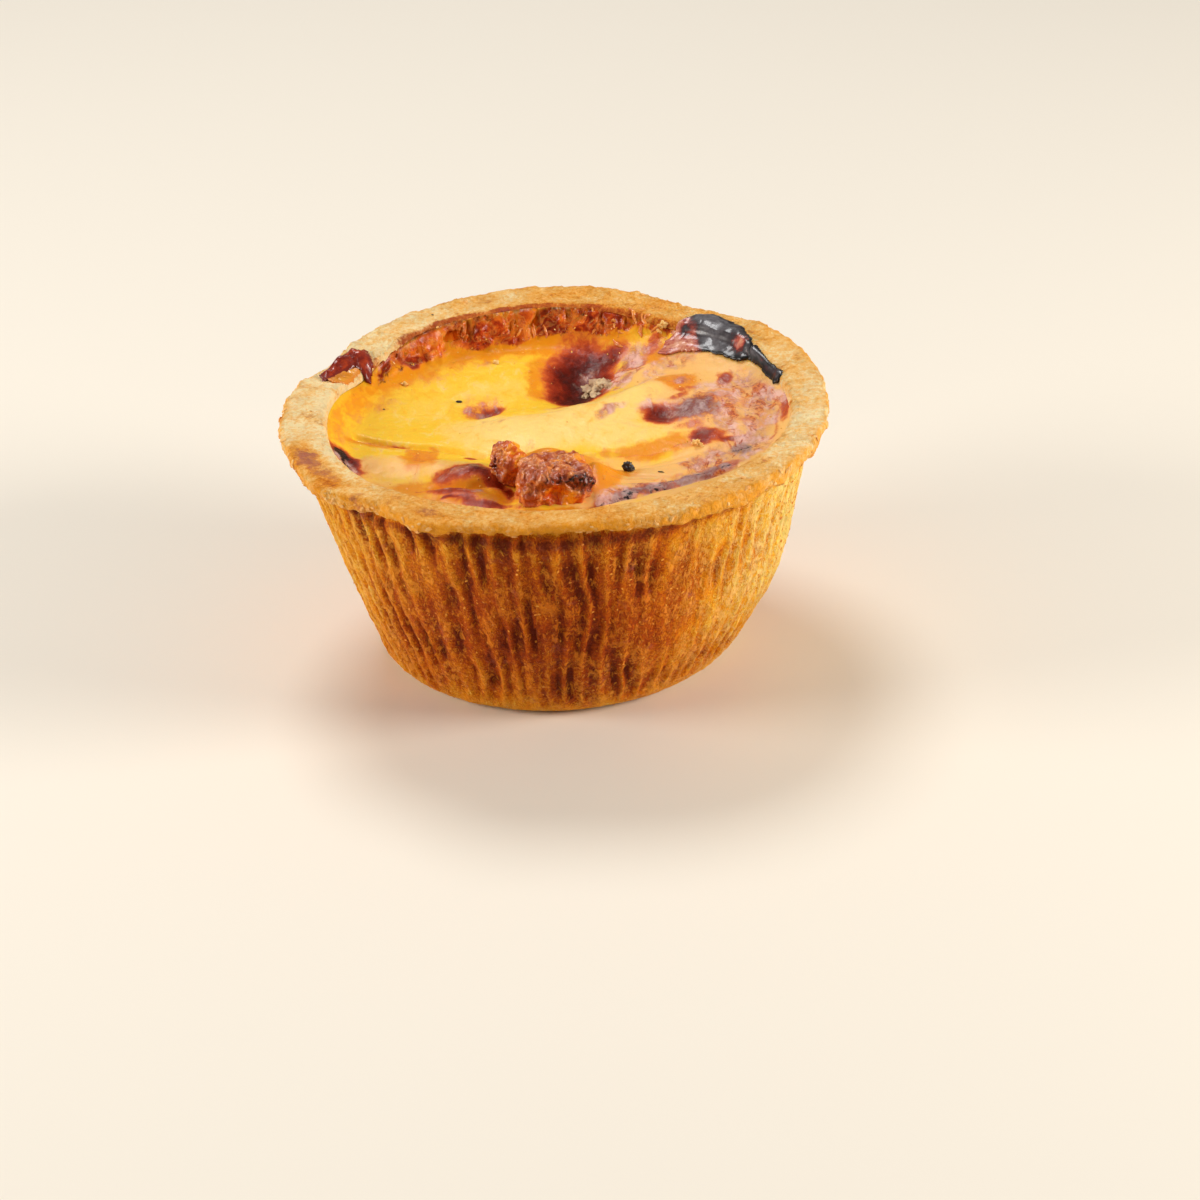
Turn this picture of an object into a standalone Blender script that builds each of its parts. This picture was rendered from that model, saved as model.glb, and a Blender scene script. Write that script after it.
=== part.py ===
"""An individual deep quiche at its real size.

A pastry case, pressed into a pleated mould, has a tapered wall and a flat, uneven rim.
A baked custard fills it: it has puffed up, coloured, and sunk in the middle, so that it
still clings to the wall near the rim. At one place it ran over the rim. Two browned
pieces of bacon stand out of it near the front.

Run: blender --background --python part.py
Metres, +Z up. The origin is the middle of the flat base. The front faces -Y, and angles
run anticlockwise from +X, seen from above, in degrees.
"""

import math
from collections import namedtuple

import bmesh
import bpy
from mathutils import Matrix, Vector, noise

MM = 0.001

# Driving sizes of the case.
RIM_RADIUS = 45.0 * MM
RIM_HEIGHT = 42.0 * MM
FLOOR_THICKNESS = 4.0 * MM
RIM_INNER_RADIUS = 38.2 * MM

# How finely the pieces are meshed.
PLEATS = 72
COLUMNS = 2 * PLEATS
FILLING_COLUMNS = 72
FILLING_RINGS = 20

# Pleats: the depth of their valleys, how unevenly deep they are, and how far they wander.
PLEAT_DEPTH = 1.0 * MM
PLEAT_UNEVENNESS = 0.45
PLEAT_WANDER = 2.2
PLEAT_FADE_HEIGHT = 5.0 * MM

# The wall's outer side, as (height, radius), from the edge of the flat base to the lip.
OUTER_WALL = (
    (0.0 * MM, 28.8 * MM),
    (1.1 * MM, 30.7 * MM),
    (3.0 * MM, 32.0 * MM),
    (8.0 * MM, 33.8 * MM),
    (14.0 * MM, 35.8 * MM),
    (20.0 * MM, 37.5 * MM),
    (27.0 * MM, 39.3 * MM),
    (33.0 * MM, 40.9 * MM),
    (37.6 * MM, 42.1 * MM),
)

# The lip's section, as (outwards from the rim line, upwards from the rim line).
LIP = (
    (-1.5 * MM, -2.3 * MM),
    (-0.6 * MM, -1.8 * MM),
    (0.0 * MM, -1.2 * MM),
    (-0.15 * MM, -0.5 * MM),
    (-1.2 * MM, 0.0 * MM),
    (-4.4 * MM, -0.2 * MM),
)

# Where the lip hangs lower, as (direction, half width, amount).
LIP_SAGS = ((318.0, 32.0, 1.1 * MM), (226.0, 14.0, 0.5 * MM), (180.0, 25.0, 0.8 * MM))
RIM_EDGE_DROP = 0.6 * MM

# The wall's inner side, as (height, radius), from under the rim's edge to the floor.
INNER_WALL = (
    (39.6 * MM, 37.7 * MM),
    (33.0 * MM, 36.2 * MM),
    (20.0 * MM, 33.1 * MM),
    (9.0 * MM, 30.0 * MM),
    (5.6 * MM, 28.2 * MM),
    (4.2 * MM, 25.0 * MM),
)

# Uneven places of the rim and wall, as (direction, half width, amount).
RIM_RISES = (
    (94.0, 36.0, 2.0 * MM),
    (128.0, 11.0, 0.5 * MM),
    (149.0, 8.0, -1.5 * MM),
    (57.0, 7.0, -0.3 * MM),
    (36.0, 14.0, 0.7 * MM),
    (213.0, 12.0, -0.5 * MM),
    (262.0, 20.0, -0.3 * MM),
    (318.0, 16.0, 0.3 * MM),
)
RIM_BULGES = (
    (86.0, 30.0, 1.2 * MM),
    (27.0, 15.0, 1.0 * MM),
    (57.0, 6.0, -0.2 * MM),
    (214.0, 9.0, 0.9 * MM),
    (226.0, 9.0, -1.9 * MM),
    (242.0, 5.0, 1.5 * MM),
    (266.0, 24.0, -2.5 * MM),
)
RIM_EDGE_BULGES = (
    (0.0, 40.0, 0.8 * MM),
    (90.0, 30.0, -0.3 * MM),
    (185.0, 30.0, -0.4 * MM),
    (258.0, 34.0, -2.0 * MM),
)

# Uneven places of the outer wall, as (direction, half width, height, half height, amount).
WALL_BULGES = (
    (0.0, 50.0, 18.0 * MM, 10.0 * MM, 0.9 * MM),
    (180.0, 50.0, 12.0 * MM, 14.0 * MM, -0.9 * MM),
    (310.0, 80.0, 0.0 * MM, 8.0 * MM, -2.3 * MM),
    (290.0, 14.0, 16.0 * MM, 12.0 * MM, 0.5 * MM),
    (248.0, 12.0, 14.0 * MM, 12.0 * MM, -0.5 * MM),
)
RIM_RIPPLE = 0.28 * MM

# The custard: its sunken level, and the ring where it clings to the wall under the rim.
CUSTARD_LEVEL = 37.3 * MM
CUSTARD_EDGE_DROP = 1.7 * MM
CLING_WIDTH = 6.0 * MM
WIDER_CLINGS = (
    (45.0, 26.0, 8.0 * MM),
    (0.0, 40.0, 4.0 * MM),
    (110.0, 30.0, -1.5 * MM),
)
CRUMPLE = 0.25 * MM
CRUMPLE_SPAN = 4.0 * MM
GAP = 0.3 * MM

# Mounds and dips of the custard: centre, half length, half width, turn and rise.
Swell = namedtuple("Swell", "x y long wide turn rise")
SWELLS = {
    "middle mound": Swell(-2.0, -1.0, 15.0, 9.0, 10.0, 2.1),
    "middle mound top": Swell(-8.0, 1.5, 5.0, 3.6, -10.0, 0.7),
    "middle mound side": Swell(3.5, 4.5, 5.0, 3.4, 30.0, 0.6),
    "right bank": Swell(23.0, 1.0, 14.0, 17.0, 0.0, 2.1),
    "front bank": Swell(0.0, -27.5, 28.0, 9.5, 0.0, 2.3),
    "left basin": Swell(-20.0, 12.0, 14.0, 12.0, 0.0, -1.0),
    "back pit": Swell(4.5, 21.0, 9.5, 5.0, 75.0, -3.4),
    "pale ridge": Swell(13.0, 9.0, 12.0, 3.6, 42.0, 1.5),
    "left fold": Swell(-21.0, -12.0, 12.0, 3.4, -22.0, 1.7),
    "fold blister": Swell(-22.0, -9.8, 3.4, 2.2, 0.0, -0.9),
    "brown mound": Swell(-14.5, -18.6, 4.4, 3.2, 10.0, 2.0),
    "edge mound": Swell(-16.0, -26.0, 6.5, 2.6, -25.0, 1.4),
    "bacon valley": Swell(-7.6, -24.0, 5.5, 1.8, 80.0, -1.6),
    "left dimple": Swell(-11.0, 10.5, 3.4, 2.4, 25.0, -1.6),
    "right dimple": Swell(18.0, 1.3, 3.6, 2.4, 0.0, -1.2),
    "grey blister": Swell(23.5, 0.5, 3.2, 4.0, 0.0, 0.8),
    "front right crease": Swell(15.0, -14.0, 9.0, 1.6, 15.0, -0.9),
    "right amber lobe": Swell(6.2, -20.5, 2.6, 4.2, 0.0, 2.6),
    "back amber lobe": Swell(-1.0, -13.8, 5.4, 2.8, -5.0, 3.0),
    "burnt blister": Swell(27.0, 25.0, 7.5, 4.6, -48.0, 1.1),
    "burnt tail": Swell(34.6, 12.5, 6.0, 1.5, -66.0, 0.8),
    "front right roll": Swell(17.0, -30.0, 9.0, 2.2, 28.0, 0.6),
    "right lump": Swell(29.5, 7.0, 4.5, 3.5, 30.0, 0.8),
    "right lump 2": Swell(27.0, -7.5, 4.0, 2.6, 10.0, 0.7),
    "back right lump": Swell(15.5, 21.0, 4.5, 3.0, 55.0, 0.9),
}

# Where the custard ran over the rim.
SPILL_FROM = 137.5
SPILL_TO = 160.0
SPILL_THICKNESS = 0.9 * MM
SPILL_REACH = 5.6 * MM
SPILL_SLOPE = (
    (-4.0 * MM, -5.6 * MM),
    (-1.5 * MM, -3.2 * MM),
)
SPILL_ROOT = (-5.0 * MM, -5.0 * MM)

# The bacon, as centre, half sizes and turn; and a crushed peppercorn.
Nugget = namedtuple("Nugget", "x y z across deep tall turn detail seed")
BACON_LARGE = Nugget(-0.6, -26.0, 40.6, 5.7, 5.8, 4.2, 6.0, 4, 3.0)
BACON_SMALL = Nugget(-8.0, -17.8, 40.4, 2.4, 3.9, 3.2, 12.0, 3, 11.0)
BACON_SQUARENESS = 2.6
BACON_CRAG = 0.09
PEPPER = Vector((11.4, -17.4, 0.0)) * MM
PEPPER_RADIUS = 0.75 * MM

COLORS = {
    "crust": (0.62, 0.33, 0.09, 1.0),
    "custard": (0.86, 0.55, 0.11, 1.0),
    "bacon_large": (0.31, 0.09, 0.03, 1.0),
    "bacon_small": (0.36, 0.10, 0.03, 1.0),
}
ROUGHNESS = {"crust": 0.7, "custard": 0.3, "bacon_large": 0.4, "bacon_small": 0.35}


def clear_scene():
    for obj in list(bpy.data.objects):
        bpy.data.objects.remove(obj)


def between(points, place):
    """The value at a place, on a line through (place, value) points."""
    points = sorted(points)
    if place <= points[0][0]:
        return points[0][1]
    for (low, value_low), (high, value_high) in zip(points, points[1:]):
        if place <= high:
            return value_low + (value_high - value_low) * (place - low) / (high - low)
    return points[-1][1]


def around(places, angle):
    """The sum of bumps, each (direction, half width, amount), at an angle in degrees."""
    total = 0.0
    for direction, half_width, amount in places:
        away = (angle - direction + 180.0) % 360.0 - 180.0
        total += amount * math.exp(-((away / half_width) ** 2))
    return total


def ripple(angle, seed):
    """A slow uneven wave round the rim, from -1 to 1."""
    a = math.radians(angle)
    return noise.noise(Vector((3.0 * math.cos(a), 3.0 * math.sin(a), seed)))


def rim_height(angle):
    return RIM_HEIGHT + around(RIM_RISES, angle) + RIM_RIPPLE * ripple(angle, 1.0)


def rim_radius(angle):
    return RIM_RADIUS + around(RIM_BULGES, angle) + RIM_RIPPLE * ripple(angle, 5.0)


def rim_edge_radius(angle):
    """The radius of the edge where the rim's top meets the inner wall."""
    return RIM_INNER_RADIUS + around(RIM_EDGE_BULGES, angle) + RIM_RIPPLE * ripple(angle, 9.0)


def inner_wall_radius(angle, height):
    """The inner wall keeps its floor's radius and follows the rim's edge at the top."""
    share = min(1.0, max(0.0, height / RIM_HEIGHT))
    return between(INNER_WALL, height) + share * (rim_edge_radius(angle) - RIM_INNER_RADIUS)


def rim_top(angle, radius):
    """The height of the rim's upper side at a radius."""
    top, outside = rim_height(angle), rim_radius(angle)
    points = [(rim_edge_radius(angle), top - RIM_EDGE_DROP)]
    points += [(outside + outwards, top + upwards) for outwards, upwards in LIP[3:]]
    return between(points, radius)


def wall_bulge(angle, height):
    total = 0.0
    for direction, half_width, middle, half_height, amount in WALL_BULGES:
        share = math.exp(-(((height - middle) / half_height) ** 2))
        total += share * around(((direction, half_width, amount),), angle)
    return total


def pleat_cut(column, height):
    """How far a column of the wall is pushed in: deep in the odd columns, which are valleys."""
    if column % 2 == 0:
        return 0.0
    uneven = noise.noise(Vector((column * 1.7, height / (9.0 * MM), 2.0)))
    fade = min(1.0, height / PLEAT_FADE_HEIGHT)
    return PLEAT_DEPTH * fade * (1.0 + 2.0 * PLEAT_UNEVENNESS * uneven)


def pleat_turn(angle, height):
    """How far the pleats lean sideways at a height, in degrees; none under the lip."""
    a = math.radians(angle)
    sway = noise.noise(Vector((1.4 * math.cos(a), 1.4 * math.sin(a), height / (16.0 * MM))))
    return PLEAT_WANDER * sway * (1.0 - height / OUTER_WALL[-1][0])


def polar(radius, angle, height):
    a = math.radians(angle)
    return Vector((radius * math.cos(a), radius * math.sin(a), height))


def wall_section(column):
    """One column of the case, from the edge of the base up, over the lip and down inside."""
    angle = 360.0 * column / COLUMNS
    stretch = rim_height(angle) / RIM_HEIGHT
    points = []
    for height, radius in OUTER_WALL:
        radius += wall_bulge(angle, height) - pleat_cut(column, height)
        points.append(polar(radius, angle + pleat_turn(angle, height), height * stretch))
    for place, (outwards, upwards) in enumerate(LIP):
        sag = around(LIP_SAGS, angle) if place < 3 else 0.0
        height = rim_height(angle) + upwards - sag
        points.append(polar(rim_radius(angle) + outwards, angle, height))
    points.append(polar(rim_edge_radius(angle), angle, rim_height(angle) - RIM_EDGE_DROP))
    for height, _ in INNER_WALL:
        points.append(polar(inner_wall_radius(angle, height), angle, height * stretch))
    return points


def lofted_mesh(name, sections, bottom, top):
    """A closed mesh through columns of points, with a fan to one point at each end."""
    mesh = bmesh.new()
    columns = [[mesh.verts.new(point) for point in section] for section in sections]
    low, high = mesh.verts.new(bottom), mesh.verts.new(top)
    for here, there in zip(columns, columns[1:] + columns[:1]):
        mesh.faces.new((low, there[0], here[0]))
        for step in range(len(here) - 1):
            mesh.faces.new((here[step], there[step], there[step + 1], here[step + 1]))
        mesh.faces.new((high, here[-1], there[-1]))
    return finished(name, mesh)


def finished(name, mesh):
    """Turns the faces outwards and makes the object, with the flat material of its name."""
    bmesh.ops.recalc_face_normals(mesh, faces=mesh.faces[:])
    data = bpy.data.meshes.new(name)
    mesh.to_mesh(data)
    mesh.free()
    obj = bpy.data.objects.new(name, data)
    bpy.context.scene.collection.objects.link(obj)
    if name in COLORS:
        data.materials.append(plain_material(name))
    return obj


def plain_material(name):
    material = bpy.data.materials.new(name)
    material.use_nodes = True
    shader = material.node_tree.nodes["Principled BSDF"]
    shader.inputs["Base Color"].default_value = COLORS[name]
    shader.inputs["Roughness"].default_value = ROUGHNESS[name]
    shader.inputs["Metallic"].default_value = 0.0
    return material


def make_crust():
    sections = [wall_section(column) for column in range(COLUMNS)]
    floor = Vector((0.0, 0.0, FLOOR_THICKNESS))
    return lofted_mesh("crust", sections, Vector((0.0, 0.0, 0.0)), floor)


def swell(place, x, y):
    """The rise of one mound or dip at a point."""
    turn = math.radians(place.turn)
    dx, dy = x / MM - place.x, y / MM - place.y
    along = (dx * math.cos(turn) + dy * math.sin(turn)) / place.long
    across = (dy * math.cos(turn) - dx * math.sin(turn)) / place.wide
    return place.rise * MM * math.exp(-(along**2 + across**2))


def custard_edge(angle):
    """(radius, height) of the custard where it ends against the wall."""
    height = rim_height(angle) - CUSTARD_EDGE_DROP
    return inner_wall_radius(angle, height) - GAP, height


def custard_height(angle, share):
    """The height of the custard's top, at a share of the way from the middle to its edge."""
    edge_radius, edge_height = custard_edge(angle)
    radius = share * edge_radius
    spot = polar(radius, angle, 0.0)
    level = CUSTARD_LEVEL + sum(swell(s, spot.x, spot.y) for s in SWELLS.values())
    level += CRUMPLE * noise.noise(spot / CRUMPLE_SPAN + Vector((0.0, 0.0, 7.0)))
    width = CLING_WIDTH + around(WIDER_CLINGS, angle)
    climb = max(0.0, 1.0 - (edge_radius - radius) / width) ** 2
    return level + climb * (edge_height - level)


def filling_section(column):
    """One column of the custard, from its bottom up the wall and over its top."""
    angle = 360.0 * column / FILLING_COLUMNS
    stretch = rim_height(angle) / RIM_HEIGHT
    edge_radius, edge_height = custard_edge(angle)
    points = []
    for height, _ in reversed(INNER_WALL[1:]):
        radius = inner_wall_radius(angle, height) - GAP
        points.append(polar(radius, angle, height * stretch + GAP))
    points.append(polar(edge_radius, angle, edge_height))
    for ring in range(1, FILLING_RINGS):
        share = 1.0 - ring / FILLING_RINGS
        points.append(polar(share * edge_radius, angle, custard_height(angle, share)))
    return points


def spill_section(angle):
    """A section of the custard that lies over the rim, from inside the case outwards."""
    middle = 0.5 * (SPILL_FROM + SPILL_TO)
    away = abs(angle - middle) / (0.5 * (SPILL_TO - SPILL_FROM))
    full = 1.0 - 0.6 * away**2
    thick = SPILL_THICKNESS * full
    top, edge = rim_height(angle), rim_edge_radius(angle)
    lying = [edge + SPILL_REACH * full * step / 4.0 for step in range(5)]
    under = [(r, rim_top(angle, r) + 1.2 * GAP) for r in lying]
    over = [(r, z + thick) for r, z in under[:-1]]
    slope = [(edge + inwards, top + upwards) for inwards, upwards in SPILL_SLOPE]
    root = (edge + SPILL_ROOT[0], top + SPILL_ROOT[1])
    return [polar(r, angle, z) for r, z in (*slope, *under, *reversed(over), root)]


def make_spill():
    """A closed strip of sections; its inner side lies inside the custard."""
    step = 360.0 / COLUMNS
    count = round((SPILL_TO - SPILL_FROM) / step) + 1
    mesh = bmesh.new()
    loops = []
    for index in range(count):
        loops.append([mesh.verts.new(p) for p in spill_section(SPILL_FROM + index * step)])
    for here, there in zip(loops, loops[1:]):
        for a in range(len(here)):
            b = (a + 1) % len(here)
            mesh.faces.new((here[a], here[b], there[b], there[a]))
    mesh.faces.new(loops[0])
    mesh.faces.new(reversed(loops[-1]))
    return finished("spill", mesh)


def nugget_point(nugget, direction, grow):
    """A point on a rounded, craggy block, grown outwards by a distance."""
    sizes = (nugget.across, nugget.deep, nugget.tall)
    total = sum(abs(d / size) ** BACON_SQUARENESS for d, size in zip(direction, sizes))
    radius = total ** (-1.0 / BACON_SQUARENESS)
    spot = direction * 2.2 + Vector((nugget.seed, 0.0, 0.0))
    crag = noise.noise(spot) + 0.5 * noise.noise(spot * 2.3)
    return direction * (radius * (1.0 + BACON_CRAG * 2.0 * crag) * MM + grow)


def make_nugget(name, nugget, grow=0.0):
    mesh = bmesh.new()
    bmesh.ops.create_icosphere(mesh, subdivisions=nugget.detail, radius=1.0)
    for vert in mesh.verts:
        vert.co = nugget_point(nugget, vert.co.normalized(), grow)
    obj = finished(name, mesh)
    place = Matrix.Translation(Vector((nugget.x, nugget.y, nugget.z)) * MM)
    turn = Matrix.Rotation(math.radians(nugget.turn), 4, "Z")
    obj.data.transform(place @ turn)
    return obj


def make_pepper():
    """The crushed peppercorn, half sunk in the custard."""
    mesh = bmesh.new()
    bmesh.ops.create_icosphere(mesh, subdivisions=1, radius=PEPPER_RADIUS)
    angle = math.degrees(math.atan2(PEPPER.y, PEPPER.x))
    share = math.hypot(PEPPER.x, PEPPER.y) / custard_edge(angle)[0]
    height = custard_height(angle, share) + 0.3 * PEPPER_RADIUS
    bmesh.ops.translate(mesh, vec=(PEPPER.x, PEPPER.y, height), verts=mesh.verts[:])
    return finished("pepper", mesh)


def join_with(obj, others, operation):
    """A Boolean of one object with others, applied, after which the others are removed."""
    tools = bpy.data.collections.new(operation)
    bpy.context.scene.collection.children.link(tools)
    for other in others:
        tools.objects.link(other)
    boolean = obj.modifiers.new(operation, "BOOLEAN")
    boolean.operation = operation
    boolean.operand_type = "COLLECTION"
    boolean.collection = tools
    boolean.solver = "EXACT"
    graph = bpy.context.evaluated_depsgraph_get()
    result = bpy.data.meshes.new_from_object(obj.evaluated_get(graph))
    obj.modifiers.clear()
    obj.data = result
    for other in others:
        bpy.data.objects.remove(other)
    bpy.data.collections.remove(tools)


def make_filling():
    """The custard, with its spill and peppercorn joined on, and sockets for the bacon."""
    sections = [filling_section(column) for column in range(FILLING_COLUMNS)]
    bottom = Vector((0.0, 0.0, FLOOR_THICKNESS + GAP))
    top = Vector((0.0, 0.0, custard_height(0.0, 0.0)))
    filling = lofted_mesh("custard", sections, bottom, top)
    join_with(filling, [make_spill(), make_pepper()], "UNION")
    sockets = [
        make_nugget("large socket", BACON_LARGE, 1.3 * GAP),
        make_nugget("small socket", BACON_SMALL, 1.3 * GAP),
    ]
    join_with(filling, sockets, "DIFFERENCE")
    return filling


def main():
    clear_scene()
    make_crust()
    make_filling()
    make_nugget("bacon_large", BACON_LARGE)
    make_nugget("bacon_small", BACON_SMALL)


main()
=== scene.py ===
"""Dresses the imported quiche: pleated pastry case, baked custard, burnt skins and toasted bacon.

Everything is in metres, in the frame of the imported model: the origin is the middle of the
flat base, +Z is up and -Y is the front. Angles run anticlockwise from +X, seen from above.
Places on the custard are written in millimetres, as they would be read off a ruler.
"""

import math
from collections import namedtuple

import bmesh
import bpy
import numpy as np
from bpy.props import FloatProperty, FloatVectorProperty, IntProperty, PointerProperty
from mathutils import Matrix, Vector, noise


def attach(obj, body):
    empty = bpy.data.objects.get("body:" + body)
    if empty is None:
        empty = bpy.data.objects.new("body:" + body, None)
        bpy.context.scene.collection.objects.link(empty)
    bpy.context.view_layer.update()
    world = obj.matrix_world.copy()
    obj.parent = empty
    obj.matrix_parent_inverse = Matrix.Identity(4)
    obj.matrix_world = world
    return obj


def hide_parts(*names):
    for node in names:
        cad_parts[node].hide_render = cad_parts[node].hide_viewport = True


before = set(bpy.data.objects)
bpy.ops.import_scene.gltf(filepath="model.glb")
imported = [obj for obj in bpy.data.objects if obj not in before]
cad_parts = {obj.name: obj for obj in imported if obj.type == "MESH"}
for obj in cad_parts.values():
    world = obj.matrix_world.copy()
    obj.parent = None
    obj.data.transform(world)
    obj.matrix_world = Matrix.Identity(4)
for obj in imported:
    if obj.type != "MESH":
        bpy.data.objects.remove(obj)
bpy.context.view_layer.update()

bl_info = {
    "name": "Individual Quiche",
    "version": (1, 0, 0),
    "blender": (4, 5, 0),
    "location": "3D View > Sidebar > Quiche",
    "description": "Builds a deep individual quiche round its packed solids",
    "category": "Add Mesh",
}

MM = 0.001
BODY = "root"

# Driving sizes of the case.
RIM_RADIUS = 45.0 * MM
RIM_HEIGHT = 42.0 * MM
FLOOR_THICKNESS = 4.0 * MM
RIM_INNER_RADIUS = 38.2 * MM
RIM_EDGE_DROP = 0.6 * MM
RIM_EDGE_WIDTH = 1.5 * MM
RIM_RIPPLE = 0.28 * MM
GAP = 0.3 * MM
# How the rim bends down to the lip, and the neck of the wall under it, which is painted darker as
# painted shade under the lip.
LIP_BEND = 1.7 * MM
LIP_BEND_DROP = 1.3 * MM
NECK_SHADE_HEIGHT = 38.6 * MM
NECK_SHADE_HALF_HEIGHT = 1.6 * MM

# The wall's outer side, as (height, radius), from the edge of the flat base to the lip.
OUTER_WALL = (
    (0.0 * MM, 28.8 * MM),
    (1.1 * MM, 30.7 * MM),
    (3.0 * MM, 32.0 * MM),
    (8.0 * MM, 33.8 * MM),
    (14.0 * MM, 35.8 * MM),
    (20.0 * MM, 37.5 * MM),
    (27.0 * MM, 39.3 * MM),
    (33.0 * MM, 40.9 * MM),
    (37.6 * MM, 42.1 * MM),
)

# The lip's section, as (outwards from the rim line, upwards from the rim line).
LIP = (
    (-1.5 * MM, -2.3 * MM),
    (-0.6 * MM, -1.8 * MM),
    (0.0 * MM, -1.2 * MM),
    (-0.15 * MM, -0.5 * MM),
    (-1.2 * MM, 0.0 * MM),
    (-4.4 * MM, -0.2 * MM),
)
# Where the lip hangs lower, as (direction, half width, amount).
LIP_SAGS = ((318.0, 32.0, 1.1 * MM), (226.0, 14.0, 0.5 * MM), (180.0, 25.0, 0.8 * MM))
# Where a ledge is pressed into the lip's outer side, as (direction, half width, depth).
LIP_LEDGES = ((318.0, 30.0, 0.5 * MM), (215.0, 20.0, 0.5 * MM))
# How strongly each side of the wall is pleated, as (direction, half width, amount).
PLEATING = ((200.0, 48.0, 0.55), (265.0, 30.0, 0.10), (100.0, 60.0, 0.3))
# Where the pleats' ridges are thin, as (direction, half width, amount).
THIN_RIDGES = ((275.0, 44.0, 1.0), (90.0, 50.0, 0.5), (340.0, 30.0, 0.4))
# Where the wall is paler and lacier, partly painted light on the sides where the side lights fall,
# as (direction, half width, amount).
GOLDEN_AND_LIT_WALL = ((338.0, 32.0, 1.2), (206.0, 24.0, 0.25))
# Where the rim is painted paler, a painted light on its left and right where the side lights fall,
# as (direction, half width, amount).
RIM_PAINTED_LIGHT = ((172.0, 48.0, 0.9), (352.0, 50.0, 0.7), (120.0, 25.0, 0.3))
# Where the rim's inner edge is amber, and its lip crumbly, as (direction, half width, amount).
RIM_AMBER = ((70.0, 45.0, 0.5), (330.0, 40.0, 0.3))
CRUMBLY_LIP = ((222.0, 26.0, 0.8), (320.0, 40.0, 0.4))
# How much higher than its solid the custard climbs where it caramelised, and how far its
# edge reaches into the pastry that it is baked to.
CARAMEL_CLIMB = ((100.0, 36.0, 1.0 * MM),)
CLING_REACH = 0.3 * MM

# The wall's inner side, as (height, radius), from under the rim's edge to the floor.
INNER_WALL = (
    (39.6 * MM, 37.7 * MM),
    (33.0 * MM, 36.2 * MM),
    (20.0 * MM, 33.1 * MM),
    (9.0 * MM, 30.0 * MM),
    (5.6 * MM, 28.2 * MM),
    (4.2 * MM, 25.0 * MM),
)

# Uneven places of the rim, as (direction, half width, amount).
RIM_RISES = (
    (94.0, 36.0, 2.0 * MM),
    (128.0, 11.0, 0.5 * MM),
    (149.0, 8.0, -1.5 * MM),
    (57.0, 7.0, -0.3 * MM),
    (36.0, 14.0, 0.7 * MM),
    (213.0, 12.0, -0.5 * MM),
    (262.0, 20.0, -0.3 * MM),
    (318.0, 16.0, 0.3 * MM),
)
RIM_BULGES = (
    (86.0, 30.0, 1.2 * MM),
    (27.0, 15.0, 1.0 * MM),
    (57.0, 6.0, -0.2 * MM),
    (214.0, 9.0, 0.9 * MM),
    (226.0, 9.0, -1.9 * MM),
    (242.0, 5.0, 1.5 * MM),
    (266.0, 24.0, -2.5 * MM),
)
RIM_EDGE_BULGES = (
    (0.0, 40.0, 0.8 * MM),
    (90.0, 30.0, -0.3 * MM),
    (185.0, 30.0, -0.4 * MM),
    (258.0, 34.0, -2.0 * MM),
)

# Uneven places of the outer wall, as (direction, half width, height, half height, amount).
WALL_BULGES = (
    (0.0, 50.0, 18.0 * MM, 10.0 * MM, 0.9 * MM),
    (180.0, 50.0, 12.0 * MM, 14.0 * MM, -0.9 * MM),
    (310.0, 80.0, 0.0 * MM, 8.0 * MM, -2.3 * MM),
    (290.0, 14.0, 16.0 * MM, 12.0 * MM, 0.5 * MM),
    (248.0, 12.0, 14.0 * MM, 12.0 * MM, -0.5 * MM),
)

# The custard: its sunken level, and the ring where it clings to the wall under the rim.
CUSTARD_LEVEL = 37.3 * MM
CUSTARD_EDGE_DROP = 1.7 * MM
CLING_WIDTH = 6.0 * MM
WIDER_CLINGS = (
    (45.0, 26.0, 8.0 * MM),
    (0.0, 40.0, 4.0 * MM),
    (110.0, 30.0, -1.5 * MM),
)

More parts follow.
